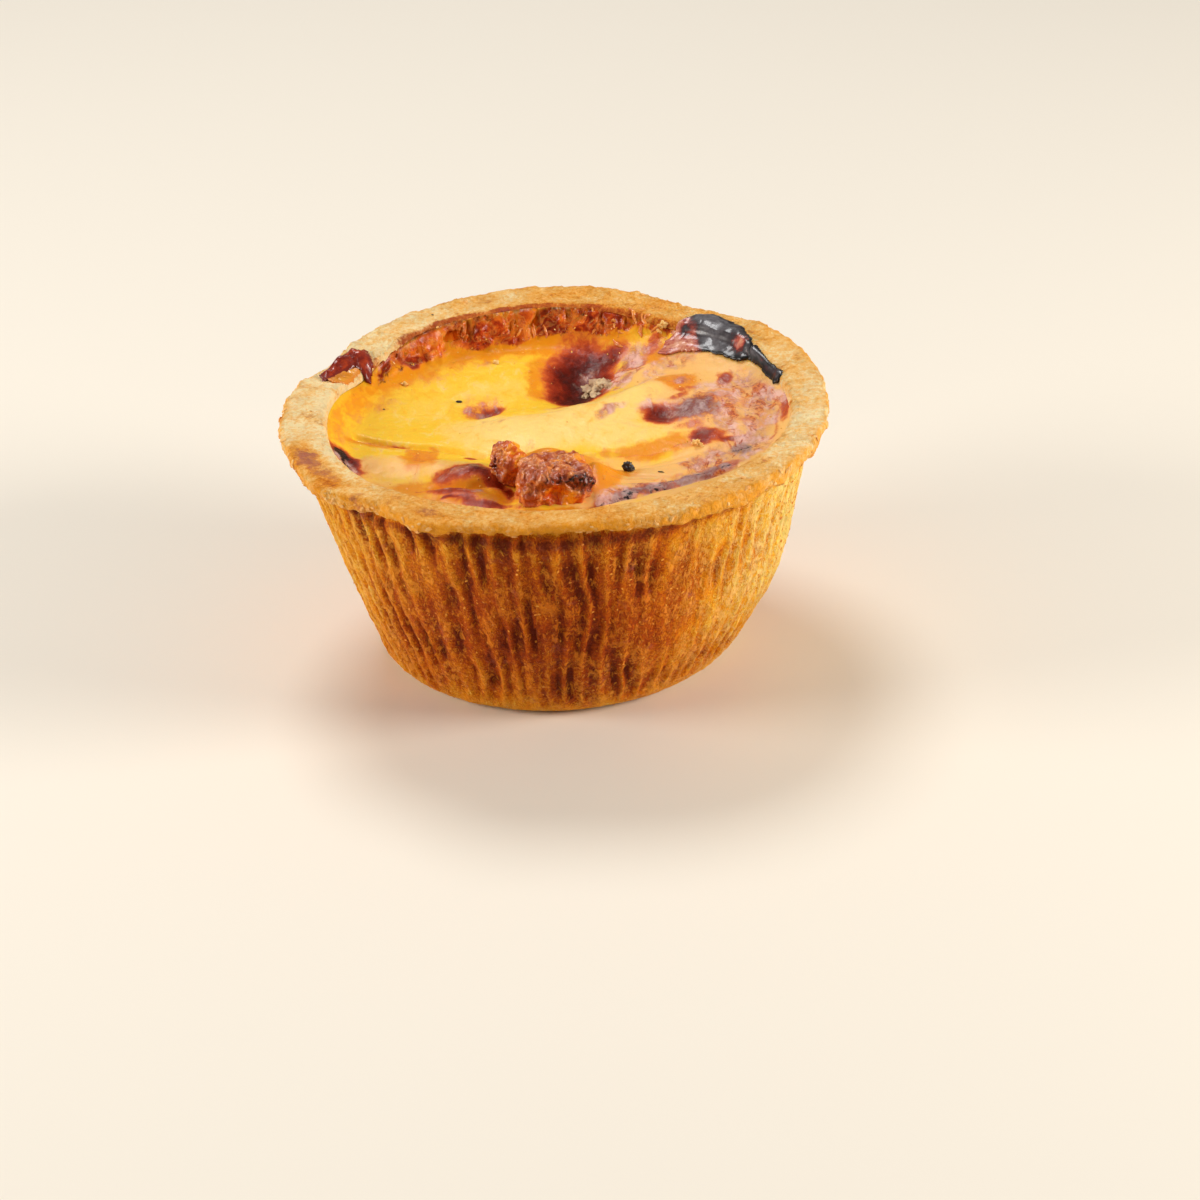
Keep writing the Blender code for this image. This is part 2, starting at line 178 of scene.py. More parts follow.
# Mounds and dips of the custard: centre, half length, half width, turn and rise, in mm.
Swell = namedtuple("Swell", "x y long wide turn rise")
SWELLS = {
    "middle mound": Swell(-2.0, -1.0, 15.0, 9.0, 10.0, 2.1),
    "middle mound top": Swell(-8.0, 1.5, 5.0, 3.6, -10.0, 0.7),
    "middle mound side": Swell(3.5, 4.5, 5.0, 3.4, 30.0, 0.6),
    "right bank": Swell(23.0, 1.0, 14.0, 17.0, 0.0, 2.1),
    "front bank": Swell(0.0, -27.5, 28.0, 9.5, 0.0, 2.3),
    "left basin": Swell(-20.0, 12.0, 14.0, 12.0, 0.0, -1.0),
    "back pit": Swell(4.5, 21.0, 9.5, 5.0, 75.0, -3.4),
    "pale ridge": Swell(13.0, 9.0, 12.0, 3.6, 42.0, 1.5),
    "left fold": Swell(-21.0, -12.0, 12.0, 3.4, -22.0, 1.7),
    "fold blister": Swell(-22.0, -9.8, 3.4, 2.2, 0.0, -0.9),
    "brown mound": Swell(-14.5, -18.6, 4.4, 3.2, 10.0, 2.0),
    "edge mound": Swell(-16.0, -26.0, 6.5, 2.6, -25.0, 1.4),
    "bacon valley": Swell(-7.6, -24.0, 5.5, 1.8, 80.0, -1.6),
    "left dimple": Swell(-11.0, 10.5, 3.4, 2.4, 25.0, -1.6),
    "right dimple": Swell(18.0, 1.3, 3.6, 2.4, 0.0, -1.2),
    "grey blister": Swell(23.5, 0.5, 3.2, 4.0, 0.0, 0.8),
    "front right crease": Swell(15.0, -14.0, 9.0, 1.6, 15.0, -0.9),
    "right amber lobe": Swell(6.2, -20.5, 2.6, 4.2, 0.0, 2.6),
    "back amber lobe": Swell(-1.0, -13.8, 5.4, 2.8, -5.0, 3.0),
    "burnt blister": Swell(27.0, 25.0, 7.5, 4.6, -48.0, 1.1),
    "burnt tail": Swell(34.6, 12.5, 6.0, 1.5, -66.0, 0.8),
    "front right roll": Swell(17.0, -30.0, 9.0, 2.2, 28.0, 0.6),
    "right lump": Swell(29.5, 7.0, 4.5, 3.5, 30.0, 0.8),
    "right lump 2": Swell(27.0, -7.5, 4.0, 2.6, 10.0, 0.7),
    "back right lump": Swell(15.5, 21.0, 4.5, 3.0, 55.0, 0.9),
}

# Sharp folds of the custard's skin: the points they pass, half width and depth, in mm.
Crease = namedtuple("Crease", "points wide deep")
CREASES = {
    "pool shore": Crease(((-33.0, 2.0), (-25.0, -2.3), (-19.5, -4.6), (-12.0, -9.6)), 0.8, 0.9),
    "mound foot": Crease(((-20.0, -21.5), (-14.5, -22.5), (-9.0, -21.0)), 0.9, 0.9),
    "front wrinkle": Crease(((5.0, -18.5), (11.0, -19.8), (19.0, -21.6)), 0.6, 0.5),
    "front wrinkle 2": Crease(((8.5, -16.6), (14.0, -16.0), (21.0, -14.5)), 0.6, 0.4),
    "front wrinkle 3": Crease(((10.0, -23.6), (17.0, -22.8), (25.0, -16.8)), 0.5, 0.35),
    "strip edge": Crease(((4.0, -31.5), (13.0, -28.5), (21.0, -23.2), (29.0, -18.8)), 0.6, 0.6),
    "pale fold": Crease(((6.0, 5.5), (9.5, 8.5), (14.5, 14.5)), 1.2, 0.35),
    "mound fold": Crease(((-13.0, 3.5), (-6.0, 5.5), (1.0, 4.8)), 1.2, 0.35),
}

# Stains of the custard, in mm: centre, half length, half width, turn and strength.
Stain = namedtuple("Stain", "x y long wide turn strength")
STAINS = {
    "toast": (
        Stain(4.4, 22.6, 12.4, 6.2, 86.0, 0.76),
        Stain(4.6, 21.0, 8.4, 4.4, 86.0, 0.45),
        Stain(4.0, 15.5, 4.6, 3.6, 30.0, 0.66),
        Stain(9.6, 29.4, 4.2, 2.6, 20.0, 0.50),
        Stain(-24.6, 27.6, 2.4, 1.5, 38.0, 0.74),
        Stain(-12.2, 11.0, 3.8, 3.2, 15.0, 0.40),
        Stain(-10.2, 11.9, 1.9, 0.9, 5.0, 0.46),
        Stain(-15.4, -17.8, 4.8, 3.8, 10.0, 0.58),
        Stain(-12.9, -17.2, 2.2, 2.2, 0.0, 0.46),
        Stain(-18.6, -17.0, 2.0, 1.4, 30.0, 0.24),
        Stain(-16.6, -25.2, 5.0, 2.2, -32.0, 0.52),
        Stain(-11.6, -29.4, 5.2, 1.2, -12.0, 0.56),
        Stain(-9.6, -21.6, 3.6, 1.9, -60.0, 0.52),
        Stain(-7.2, -26.0, 1.6, 3.4, 0.0, 0.30),
        Stain(-22.2, -9.4, 2.6, 4.0, 0.0, 0.22),
        Stain(-30.8, 0.5, 2.4, 0.9, -28.0, 0.36),
        Stain(-26.6, -1.5, 3.2, 0.6, -14.0, 0.34),
        Stain(-18.4, -5.2, 3.0, 0.5, -38.0, 0.24),
        Stain(-13.8, -9.8, 1.6, 0.8, -20.0, 0.46),
        Stain(-34.4, -9.4, 5.6, 2.4, -68.0, 0.80),
        Stain(18.4, 0.8, 4.2, 3.6, 0.0, 0.72),
        Stain(23.4, 2.4, 6.0, 3.6, 78.0, 0.40),
        Stain(20.3, 7.6, 2.2, 0.9, 50.0, 0.40),
        Stain(24.6, -7.6, 2.6, 2.3, 0.0, 0.68),
        Stain(28.8, -8.7, 2.7, 0.9, 12.0, 0.66),
        Stain(29.0, 14.6, 1.5, 2.5, -15.0, 0.64),
        Stain(21.4, 14.2, 3.0, 3.3, 0.0, 0.26),
        Stain(14.4, 24.0, 1.7, 2.8, -20.0, 0.56),
        Stain(17.4, 29.2, 1.8, 3.0, -30.0, 0.42),
        Stain(20.5, 22.2, 2.2, 1.4, 40.0, 0.20),
        Stain(31.6, 21.0, 1.8, 1.8, 0.0, 0.40),
        Stain(38.0, 0.6, 0.9, 5.0, 0.0, 0.46),
        Stain(31.0, 4.0, 3.4, 2.0, 20.0, 0.24),
        Stain(32.6, -3.4, 1.8, 3.0, 0.0, 0.22),
        Stain(22.4, -15.4, 2.4, 1.6, 40.0, 0.24),
        Stain(16.4, -24.6, 13.0, 1.2, 30.0, 0.44),
        Stain(9.0, -29.2, 5.0, 1.0, 24.0, 0.44),
        Stain(27.0, -17.6, 4.0, 1.2, 38.0, 0.36),
        Stain(27.6, 6.4, 3.4, 1.9, 40.0, 0.30),
        Stain(22.4, 10.4, 2.2, 1.3, 30.0, 0.30),
        Stain(34.2, 8.6, 1.4, 2.6, 0.0, 0.30),
        Stain(30.2, -1.6, 2.4, 1.5, 20.0, 0.26),
        Stain(21.8, -4.6, 3.0, 1.2, 10.0, 0.26),
        Stain(12.5, 13.0, 3.0, 1.2, 50.0, 0.20),
        Stain(4.4, 1.2, 1.5, 1.2, 0.0, 0.17),
        Stain(10.6, -7.0, 1.2, 0.9, 0.0, 0.15),
        Stain(3.4, -3.1, 1.0, 0.8, 0.0, 0.15),
        Stain(0.5, 8.0, 1.8, 1.0, 20.0, 0.16),
        Stain(-4.5, 15.0, 1.4, 0.9, 20.0, 0.12),
        Stain(-28.6, 13.4, 1.0, 0.6, 20.0, 0.20),
    ),
    "char": (
        Stain(-34.8, -7.6, 2.6, 0.9, -66.0, 0.90),
        Stain(-9.6, 12.0, 1.1, 0.4, 10.0, 0.40),
    ),
    "ash": (
        Stain(23.6, 2.9, 6.0, 3.8, 70.0, 0.90),
        Stain(29.8, -11.9, 2.6, 1.7, 20.0, 0.80),
        Stain(31.0, -11.4, 1.4, 0.8, 20.0, 0.40),
        Stain(-11.8, 11.2, 3.0, 2.2, 10.0, 0.62),
        Stain(-34.6, -10.0, 3.6, 1.4, -66.0, 0.60),
        Stain(-13.4, -16.0, 1.8, 1.6, 0.0, 0.40),
        Stain(-12.6, -25.0, 1.6, 1.0, -40.0, 0.45),
        Stain(13.4, -26.2, 6.4, 1.3, 28.0, 0.80),
        Stain(23.4, -20.2, 5.4, 1.3, 36.0, 0.75),
    ),
    # The filmed skin: browned skin that is painted with a mauve sheen, a painted reflection of the
    # lights on its gloss.
    "film": (
        Stain(12.4, 20.6, 7.0, 2.2, 66.0, 0.90),
        Stain(13.6, 26.4, 4.6, 2.6, 55.0, 0.85),
        Stain(9.2, 1.8, 4.4, 1.6, 45.0, 0.80),
        Stain(16.0, 4.6, 4.0, 1.8, 30.0, 0.45),
        Stain(24.6, 3.6, 8.0, 5.8, 60.0, 0.74),
        Stain(29.5, 5.0, 7.0, 6.0, 30.0, 0.72),
        Stain(34.5, 5.0, 3.6, 8.0, 10.0, 0.78),
        Stain(6.0, 25.0, 5.0, 2.0, 60.0, 0.45),
        Stain(31.5, 13.0, 3.6, 5.0, 30.0, 0.62),
        Stain(31.0, -4.0, 5.0, 5.6, 0.0, 0.66),
        Stain(25.5, -5.0, 3.4, 3.0, 0.0, 0.50),
        Stain(28.5, -12.0, 5.2, 3.4, 20.0, 0.82),
        Stain(22.4, -15.8, 3.4, 2.6, 40.0, 0.80),
        Stain(14.0, -25.6, 10.0, 2.2, 28.0, 0.90),
        Stain(24.6, -19.0, 7.4, 2.4, 36.0, 0.85),
        Stain(33.4, -13.0, 2.6, 4.0, 20.0, 0.50),
        Stain(-16.4, -17.6, 4.0, 2.4, 10.0, 0.45),
        Stain(-19.4, -22.6, 4.2, 1.4, -30.0, 0.30),
        Stain(-12.0, -26.6, 4.0, 1.6, -30.0, 0.45),
        Stain(-12.4, 11.2, 3.4, 2.6, 15.0, 0.62),
        Stain(14.0, 13.0, 4.4, 1.4, 50.0, 0.60),
        Stain(20.4, 22.4, 5.6, 3.2, 15.0, 0.60),
        Stain(21.4, 14.2, 1.6, 1.8, 0.0, 0.85),
        Stain(25.6, 11.6, 3.0, 2.6, 0.0, 0.50),
        Stain(-34.0, -13.2, 5.0, 2.2, -62.0, 0.70),
        Stain(16.8, 18.0, 2.0, 2.4, -20.0, 0.50),
    ),
    "cream": (
        Stain(-2.0, -2.0, 14.0, 8.0, 8.0, 0.95),
        Stain(11.5, 5.0, 12.0, 6.5, 35.0, 0.90),
        Stain(-21.0, -13.0, 12.0, 3.6, -20.0, 0.55),
        Stain(13.0, -20.5, 9.0, 2.6, 10.0, 0.75),
        Stain(14.0, -6.0, 9.0, 4.0, 5.0, 0.70),
        Stain(17.0, 10.0, 6.0, 8.0, 0.0, 0.60),
        Stain(-20.0, 14.0, 9.0, 7.0, 10.0, 0.30),
        Stain(-8.0, 18.0, 7.0, 5.0, 10.0, 0.40),
        Stain(-13.0, 3.0, 6.0, 5.0, 0.0, 0.66),
        Stain(-26.5, -17.0, 4.0, 3.0, -50.0, 0.40),
    ),
    "peach": (
        Stain(29.0, 5.0, 12.0, 17.0, 0.0, 0.95),
        Stain(34.0, -8.0, 5.0, 10.0, 30.0, 0.85),
        Stain(20.0, 20.0, 9.0, 7.0, 20.0, 0.85),
        Stain(25.0, -14.0, 9.0, 5.0, 35.0, 0.70),
        Stain(12.0, -26.0, 14.0, 5.0, 26.0, 0.80),
        Stain(30.0, -22.0, 6.0, 5.0, 40.0, 0.80),
        Stain(-22.0, -22.0, 8.0, 4.0, -45.0, 0.50),
        Stain(-30.0, -14.0, 7.0, 3.0, -60.0, 0.50),
        Stain(-22.0, -13.0, 12.0, 3.4, -22.0, 0.60),
        Stain(14.0, -2.0, 5.0, 3.0, 0.0, 0.25),
        Stain(9.0, -15.6, 9.0, 3.4, 6.0, 0.60),
        Stain(18.0, -17.6, 9.0, 4.0, 25.0, 0.80),
    ),
    "amber": (
        Stain(15.5, -9.8, 8.4, 2.6, 14.0, 0.80),
        Stain(-10.0, -26.0, 5.0, 2.6, -30.0, 0.80),
        Stain(6.4, -21.5, 3.6, 6.6, 0.0, 0.95),
        Stain(-1.0, -14.6, 6.4, 4.0, 0.0, 0.92),
        Stain(-5.4, -19.6, 2.0, 4.0, 0.0, 0.95),
        Stain(10.5, -18.0, 3.4, 2.0, 0.0, 0.70),
        Stain(-22.2, -9.4, 3.3, 4.9, 0.0, 0.95),
        Stain(-15.0, -19.6, 6.6, 4.6, 0.0, 0.80),
        Stain(-14.0, -24.6, 7.0, 2.6, -30.0, 0.60),
        Stain(-30.0, -1.0, 5.0, 1.6, -25.0, 0.75),
        Stain(-23.0, -21.5, 6.0, 3.0, -42.0, 0.75),
        Stain(21.4, 14.2, 3.5, 3.8, 0.0, 0.85),
        Stain(18.0, 26.0, 2.6, 3.4, -30.0, 0.80),
        Stain(27.4, 9.0, 2.2, 1.6, 30.0, 0.60),
        Stain(34.6, -1.0, 1.6, 4.0, 0.0, 0.45),
        Stain(31.0, 10.0, 1.6, 3.0, 20.0, 0.40),
        Stain(-12.0, 13.0, 4.0, 4.0, 0.0, 0.30),
        Stain(-2.4, 22.0, 2.6, 9.0, 0.0, 0.70),
        Stain(2.0, 33.4, 9.0, 2.4, 0.0, 0.70),
        Stain(0.0, -33.6, 26.0, 2.2, 0.0, 0.80),
    ),
}
# Thin lines of each stain: the points they pass, half width and strength, in mm.
Streak = namedtuple("Streak", "points wide strength")
STREAKS = {
    "char": (
        Streak(((6.0, -30.6), (10.0, -28.8), (14.6, -26.6), (19.0, -23.6)), 0.5, 0.42),
        Streak(((16.0, -24.0), (21.0, -21.4), (25.4, -19.0), (28.2, -17.4)), 0.45, 0.44),
        Streak(((9.4, -27.4), (13.0, -26.6), (16.4, -24.2)), 0.4, 0.36),
        Streak(((28.2, -12.6), (30.0, -11.4), (32.0, -11.0)), 0.3, 0.55),
        Streak(((-36.0, -6.4), (-34.6, -10.4), (-33.4, -12.8)), 0.4, 0.80),
    ),
    "toast": (
        Streak(((8.0, -29.0), (14.0, -25.2), (20.0, -22.6), (27.0, -18.6)), 0.9, 0.60),
        Streak(((-21.6, -22.4), (-17.0, -24.2), (-12.0, -24.4)), 0.5, 0.45),
        Streak(((-18.8, -27.0), (-14.0, -28.4), (-9.0, -29.8)), 0.5, 0.60),
        Streak(((10.0, -12.4), (15.0, -11.4), (21.0, -9.8)), 0.3, 0.26),
        Streak(((25.0, -9.0), (28.0, -8.8), (31.4, -7.4)), 0.5, 0.50),
        Streak(((8.4, -22.6), (14.0, -22.4), (20.0, -20.2)), 0.25, 0.22),
        Streak(((29.6, 17.6), (32.8, 12.0), (34.2, 6.0)), 0.35, 0.30),
        Streak(((36.0, 7.0), (37.0, 1.0), (36.4, -5.0), (34.6, -11.0)), 0.4, 0.34),
        Streak(((27.0, 8.0), (30.0, 7.4), (33.4, 5.0)), 0.35, 0.30),
        Streak(((28.6, 1.0), (31.0, -1.6), (31.0, -5.0)), 0.4, 0.28),
    ),
    # A streak of filmed skin, painted with the same mauve sheen.
    "film": (Streak(((6.5, -30.0), (14.0, -26.4), (21.0, -22.0), (30.0, -16.4)), 1.5, 0.70),),
}
# How the stains' edges wander: the size and reach of each shift, in mm.
STAIN_WARPS = ((6.0, 1.0), (2.4, 0.7), (1.1, 0.3))
WARP_SEED = 3.0
# How far apart the noise of a shift's two directions is taken.
DRIFT_APART = 57.3

# Browned and darkened places of the case: direction, height, half angle, half height and strength.
CASE_BROWNING_AND_SHADE = (
    (328.0, 5.0 * MM, 36.0, 8.0 * MM, 0.4),
    (204.0, 5.0 * MM, 30.0, 8.0 * MM, 0.35),
    # At the front: partly browning, partly painted shade where the front wall is turned from the
    # lights and lies under the lip.
    (262.0, 20.0 * MM, 40.0, 17.0 * MM, 0.88),
    (225.0, 12.0 * MM, 10.0, 14.0 * MM, 0.25),
    (285.0, 30.0 * MM, 16.0, 9.0 * MM, 0.25),
    (296.0, 18.0 * MM, 12.0, 12.0 * MM, 0.2),
    (100.0, 14.0 * MM, 30.0, 18.0 * MM, 0.35),
    (30.0, 10.0 * MM, 18.0, 12.0 * MM, 0.25),
    (160.0, 12.0 * MM, 18.0, 12.0 * MM, 0.20),
)
# Stains on the rim's upper side: centre, half sizes, turn and strength, in mm.
RIM_TOASTS = (
    Stain(-40.0, -15.0, 6.0, 2.6, -70.0, 0.80),
    Stain(-36.5, -21.5, 4.0, 2.0, -50.0, 0.50),
    Stain(-37.0, -24.0, 2.4, 1.6, -40.0, 0.70),
    Stain(-20.0, -36.5, 4.0, 1.6, -28.0, 0.30),
    Stain(-30.0, -33.0, 6.0, 1.5, -45.0, 0.20),
)
RIM_STAINS = (Stain(-32.6, 24.6, 5.0, 1.6, -30.0, 0.45), Stain(-36.0, 15.0, 4.0, 1.6, -60.0, 0.35))
RIM_BRUISES = (
    Stain(-39.6, -15.6, 5.0, 2.2, -70.0, 0.90),
    Stain(-36.4, -20.4, 3.0, 1.6, -50.0, 0.60),
    Stain(-20.0, -36.0, 3.0, 1.4, -28.0, 0.45),
    Stain(-31.0, -29.0, 4.0, 1.4, -45.0, 0.30),
)

# The caramelised band high on the back wall, and the amber custard below it.
BAND_MIDDLE = 97.0
BAND_HALF_ANGLE = 40.0
BAND_WIDTH = 2.3 * MM
BAND_EDGE = (77.0, 131.0)
AMBER_WIDTH = 7.0 * MM
# Where the custard's edge is amber or peach, as (direction, half width, amount).
BACK_AMBER = ((100.0, 50.0, 1.0), (170.0, 40.0, 0.3))
FRONT_AMBER = ((236.0, 40.0, 0.75),)
FRONT_PEACH = ((330.0, 62.0, 1.1),)

# The bacon: centre, half sizes and turn, in mm and degrees, fineness of its mesh, and seed.
Nugget = namedtuple("Nugget", "x y z across deep tall turn detail seed")
BACON_LARGE = Nugget(-0.6, -26.0, 40.6, 5.7, 5.8, 4.2, 6.0, 7, 3.0)
BACON_SMALL = Nugget(-8.0, -17.8, 40.4, 2.4, 3.9, 3.2, 12.0, 6, 11.0)
# Places on a piece of bacon, as (direction, reach in degrees, amount).
BACON_LARGE_LOBES = (
    ((-0.62, -0.20, 0.80), 34.0, 0.17),
    ((0.72, -0.10, 0.70), 24.0, 0.12),
    ((0.14, 0.05, 1.00), 15.0, -0.12),
    ((-0.06, -0.99, 0.02), 19.0, -0.34),
    ((-0.05, -0.86, 0.52), 16.0, 0.10),
    ((0.75, -0.60, 0.20), 20.0, 0.12),
    ((-0.75, -0.60, -0.20), 20.0, 0.12),
    ((0.10, -0.85, -0.55), 18.0, 0.14),
)
# Where the large piece is dark: charred crust, and painted shade on its front face, which is turned
# from the lights.
BACON_LARGE_CHAR_AND_SHADE = (
    ((-0.55, -0.78, 0.26), 11.0, 0.70),
    ((-0.30, -0.86, 0.46), 11.0, 0.75),
    ((0.02, -0.84, 0.52), 11.0, 0.80),
    ((0.34, -0.82, 0.42), 13.0, 0.85),
    ((0.60, -0.66, 0.40), 15.0, 0.90),
    ((0.82, -0.52, 0.10), 16.0, 0.95),
    ((-0.80, -0.55, -0.20), 14.0, 0.70),
    ((0.20, -0.90, -0.42), 12.0, 0.90),
    ((0.30, -0.30, 0.90), 14.0, 0.35),
)
# Where a painted orange glow lies: light through its lower front, and painted light on its top and
# right.
BACON_LARGE_PAINTED_GLOW = (
    ((-0.05, -0.99, 0.05), 20.0, 1.00),
    ((0.35, -0.90, -0.20), 20.0, 0.80),
    ((0.20, -0.10, 1.00), 14.0, 0.55),
    ((0.80, 0.10, 0.55), 22.0, 0.75),
    ((-0.92, -0.20, 0.10), 20.0, 0.50),
)
BACON_SMALL_LOBES = (
    ((-0.10, 0.10, 1.00), 36.0, 0.10),
    ((-0.70, -0.50, 0.40), 22.0, 0.12),
    ((0.75, -0.40, 0.50), 34.0, 0.16),
)
# Where the small piece is dark: char, and painted shade on its left side, away from the right
# light.
BACON_SMALL_CHAR_AND_SHADE = (
    ((-0.80, -0.55, 0.20), 26.0, 0.90),
    ((-0.45, -0.70, -0.40), 26.0, 0.70),
    ((-0.60, -0.20, 0.75), 24.0, 0.55),
)
# A painted orange glow on its right side, where the right light falls.
BACON_SMALL_PAINTED_GLOW = (((0.80, -0.30, 0.55), 60.0, 1.40),)
BACON_SQUARENESS = 2.6
BACON_CRAG = 0.09

# Burnt skins that lie over the surface: outlines in mm, seen from above.
BURNT_FLAP = (
    (18.0, 26.4),
    (19.6, 29.2),
    (22.2, 31.4),
    (25.4, 33.4),
    (28.4, 32.6),
    (30.6, 29.4),
    (32.6, 26.0),
    (33.8, 22.4),
    (34.4, 18.8),
    (33.6, 17.2),
    (31.6, 17.2),
    (30.0, 19.4),
    (28.0, 21.2),
    (25.6, 23.2),
    (22.4, 24.6),
    (19.6, 25.0),
)
BURNT_TAIL = (
    (32.7, 19.6),
    (34.6, 19.2),
    (35.6, 16.9),
    (36.5, 14.0),
    (37.5, 11.6),
    (38.5, 9.9),
    (38.4, 8.6),
    (37.4, 8.0),
    (36.4, 8.6),
    (36.1, 10.2),
    (35.5, 12.0),
    (34.8, 14.2),
    (33.8, 16.2),
    (32.8, 17.6),
)
SPILL = (
    (-30.6, 19.6),
    (-30.2, 22.4),
    (-31.4, 25.6),
    (-34.0, 27.2),
    (-36.6, 25.2),
    (-38.4, 21.4),
    (-39.4, 17.4),
    (-38.8, 15.0),
    (-37.0, 15.6),
    (-36.2, 18.4),
    (-34.8, 20.4),
    (-33.4, 21.4),
    (-32.3, 20.6),
    (-31.6, 19.4),
)
HOLLOW = (
    (-33.2, 17.8),
    (-32.4, 20.8),
    (-33.4, 22.6),
    (-35.2, 21.6),
    (-36.8, 18.8),
    (-38.0, 15.6),
    (-36.6, 14.0),
    (-34.8, 15.0),
)
# Each skin: how far it rises, undulates, folds and beads at its edge, its thickness and how far
# its outline wanders, in mm, and its seed.
Skin = namedtuple("Skin", "rise wave fold bead thick warp seed")
SKINS = {
    "burnt_flap": Skin(0.7, 0.4, 0.12, 0.3, 0.45, 0.45, 2.0),
    "burnt_tail": Skin(0.6, 0.6, 0.05, 0.15, 0.4, 0.2, 5.0),
    "spilled_custard": Skin(1.1, 1.2, 0.4, 0.15, 0.8, 0.4, 8.0),
    "band_edge": Skin(0.5, 1.1, 0.3, 0.1, 0.6, 0.5, 11.0),
    "spilled_hollow": Skin(0.15, 0.4, 0.3, 0.1, 0.4, 0.4, 4.0),
}
SKIN_SPACING = 0.2 * MM
# How far a skin lies over the highest ground near it, in mm, and how near that is.
SKIN_CLEARANCE = 0.06
SKIN_NEAR = 0.7 * MM

# Bits that lie on the custard, in mm: centre, half sizes and turn.
Bit = namedtuple("Bit", "x y across deep tall turn")
PEPPERCORN = (Bit(11.4, -17.7, 0.8, 0.8, 0.95, 0.0), Bit(12.0, -17.5, 0.45, 0.4, 0.5, 40.0))
BLACK_SPECKS = (
    Bit(-15.9, 15.0, 0.55, 0.3, 0.25, -20.0),
    Bit(16.6, -19.3, 0.5, 0.1, 0.12, -25.0),
    Bit(-28.6, 13.2, 0.16, 0.25, 0.12, 30.0),
    Bit(-20.2, 35.9, 0.2, 0.15, 0.12, 0.0),
)
PALE_CRUMBS = (
    Bit(22.9, -10.2, 0.65, 0.55, 0.55, 10.0),
    Bit(23.5, -10.6, 0.35, 0.3, 0.3, 0.0),
    Bit(19.4, 32.3, 0.8, 0.55, 0.7, 30.0),
    Bit(18.7, 31.5, 0.4, 0.5, 0.4, 0.0),
    Bit(5.6, 22.2, 0.5, 0.5, 0.4, 20.0),
    Bit(-9.6, 28.6, 0.5, 0.4, 0.35, 0.0),
    Bit(-25.3, 22.2, 0.5, 0.4, 0.3, 0.0),
)
ASHEN_CRUMBS = (
    Bit(6.4, 21.6, 1.1, 1.6, 0.5, 30.0),
    Bit(7.8, 22.8, 1.3, 1.3, 0.6, 0.0),
    Bit(8.8, 20.6, 1.2, 1.7, 0.6, 10.0),
    Bit(7.4, 18.8, 1.0, 1.5, 0.5, -20.0),
    Bit(7.0, 16.4, 0.8, 1.2, 0.4, 20.0),
    Bit(9.4, 18.0, 0.7, 1.0, 0.4, 0.0),
    Bit(5.4, 19.4, 0.6, 0.9, 0.4, 0.0),
)

# Where strands of browned cheese lie: middle of the zone, half sizes, how many, length, in mm.
Strands = namedtuple("Strands", "x y long wide count length thick")
STRAND_ZONES = (
    Strands(15.4, 32.4, 3.4, 2.2, 7, 3.2, 0.24),
    Strands(9.4, 34.6, 4.6, 1.2, 5, 2.6, 0.2),
    Strands(-3.0, 35.8, 7.0, 0.7, 3, 1.8, 0.15),
)

# The camera: its place and aim, its roll in degrees, and its lens and sensor in mm.
CAMERA_PLACE = Vector((0.0, -534.6, 292.4)) * MM
CAMERA_AIM = Vector((6.1, -5.8, 8.6)) * MM
CAMERA_ROLL = 2.46
CAMERA_LENS = 107.7
CAMERA_SENSOR = 36.0

# How finely the large pieces are meshed.
CASE_COLUMNS = 666
CASE_SPACING = 0.43 * MM
CUSTARD_COLUMNS = 600
CUSTARD_RINGS = 140


def srgb(red, green, blue):
    """A linear colour from display values of 0 to 255."""
    values = []
    for value in (red, green, blue):
        share = value / 255.0
        values.append(share / 12.92 if share <= 0.04045 else ((share + 0.055) / 1.055) ** 2.4)
    return (*values, 1.0)


# ---------------------------------------------------------------- settings


def colour_property(label, text, value):
    return FloatVectorProperty(
        name=label, description=text, default=value[:3], subtype="COLOR", min=0.0, max=1.0
    )


def length_property(label, text, value):
    return FloatProperty(name=label, description=text, default=value, unit="LENGTH", min=0.0)


class QuicheCaseSettings(bpy.types.PropertyGroup):
    """Sizes and colours of the pastry case"""

    pleats: IntProperty(name="Pleats", description="Pleats round the wall", default=70, min=3)
    pleat_depth: length_property("Pleat Depth", "Depth of the pleats' valleys", 1.1 * MM)
    wander: FloatProperty(
        name="Wander", description="How far pleats stray, in pleats", default=1.15, min=0.0
    )
    flake_depth: length_property("Flake Depth", "Height of the wall's flakes", 0.35 * MM)
    crumble: length_property("Crumble", "How rough the lip's edge is", 1.3 * MM)
    pale: colour_property("Pale Crust", "Colour of the palest wall", srgb(245, 178, 44))
    golden: colour_property("Golden Crust", "Colour of the golden wall", srgb(226, 136, 6))
    toasted: colour_property("Toasted Crust", "Colour of the browned wall", srgb(180, 80, 0))
    dark: colour_property("Dark Crust", "Colour of the darkest wall", srgb(110, 36, 2))


class QuicheCustardSettings(bpy.types.PropertyGroup):
    """Colours of the custard and depths of its skin"""

    cream: colour_property("Cream", "Colour of the pale mounds", srgb(253, 209, 118))
    yolk: colour_property("Yolk", "Colour of the yellow custard", srgb(249, 197, 48))
    amber: colour_property("Amber", "Colour of the thick amber custard", srgb(232, 140, 14))
    wrinkle_depth: length_property("Wrinkles", "Depth of the toasted skin's wrinkles", 0.4 * MM)
    dimple_depth: length_property("Dimples", "Depth of the custard's small dimples", 0.12 * MM)


class QuicheBaconSettings(bpy.types.PropertyGroup):
    """Colours and roughness of the bacon"""

    crag_depth: length_property("Crags", "Depth of the bacon's crags", 1.0 * MM)
    meat: colour_property("Meat", "Colour of the toasted meat", srgb(174, 76, 28))
    fat: colour_property("Fat", "Colour of the browned fat", srgb(240, 150, 56))


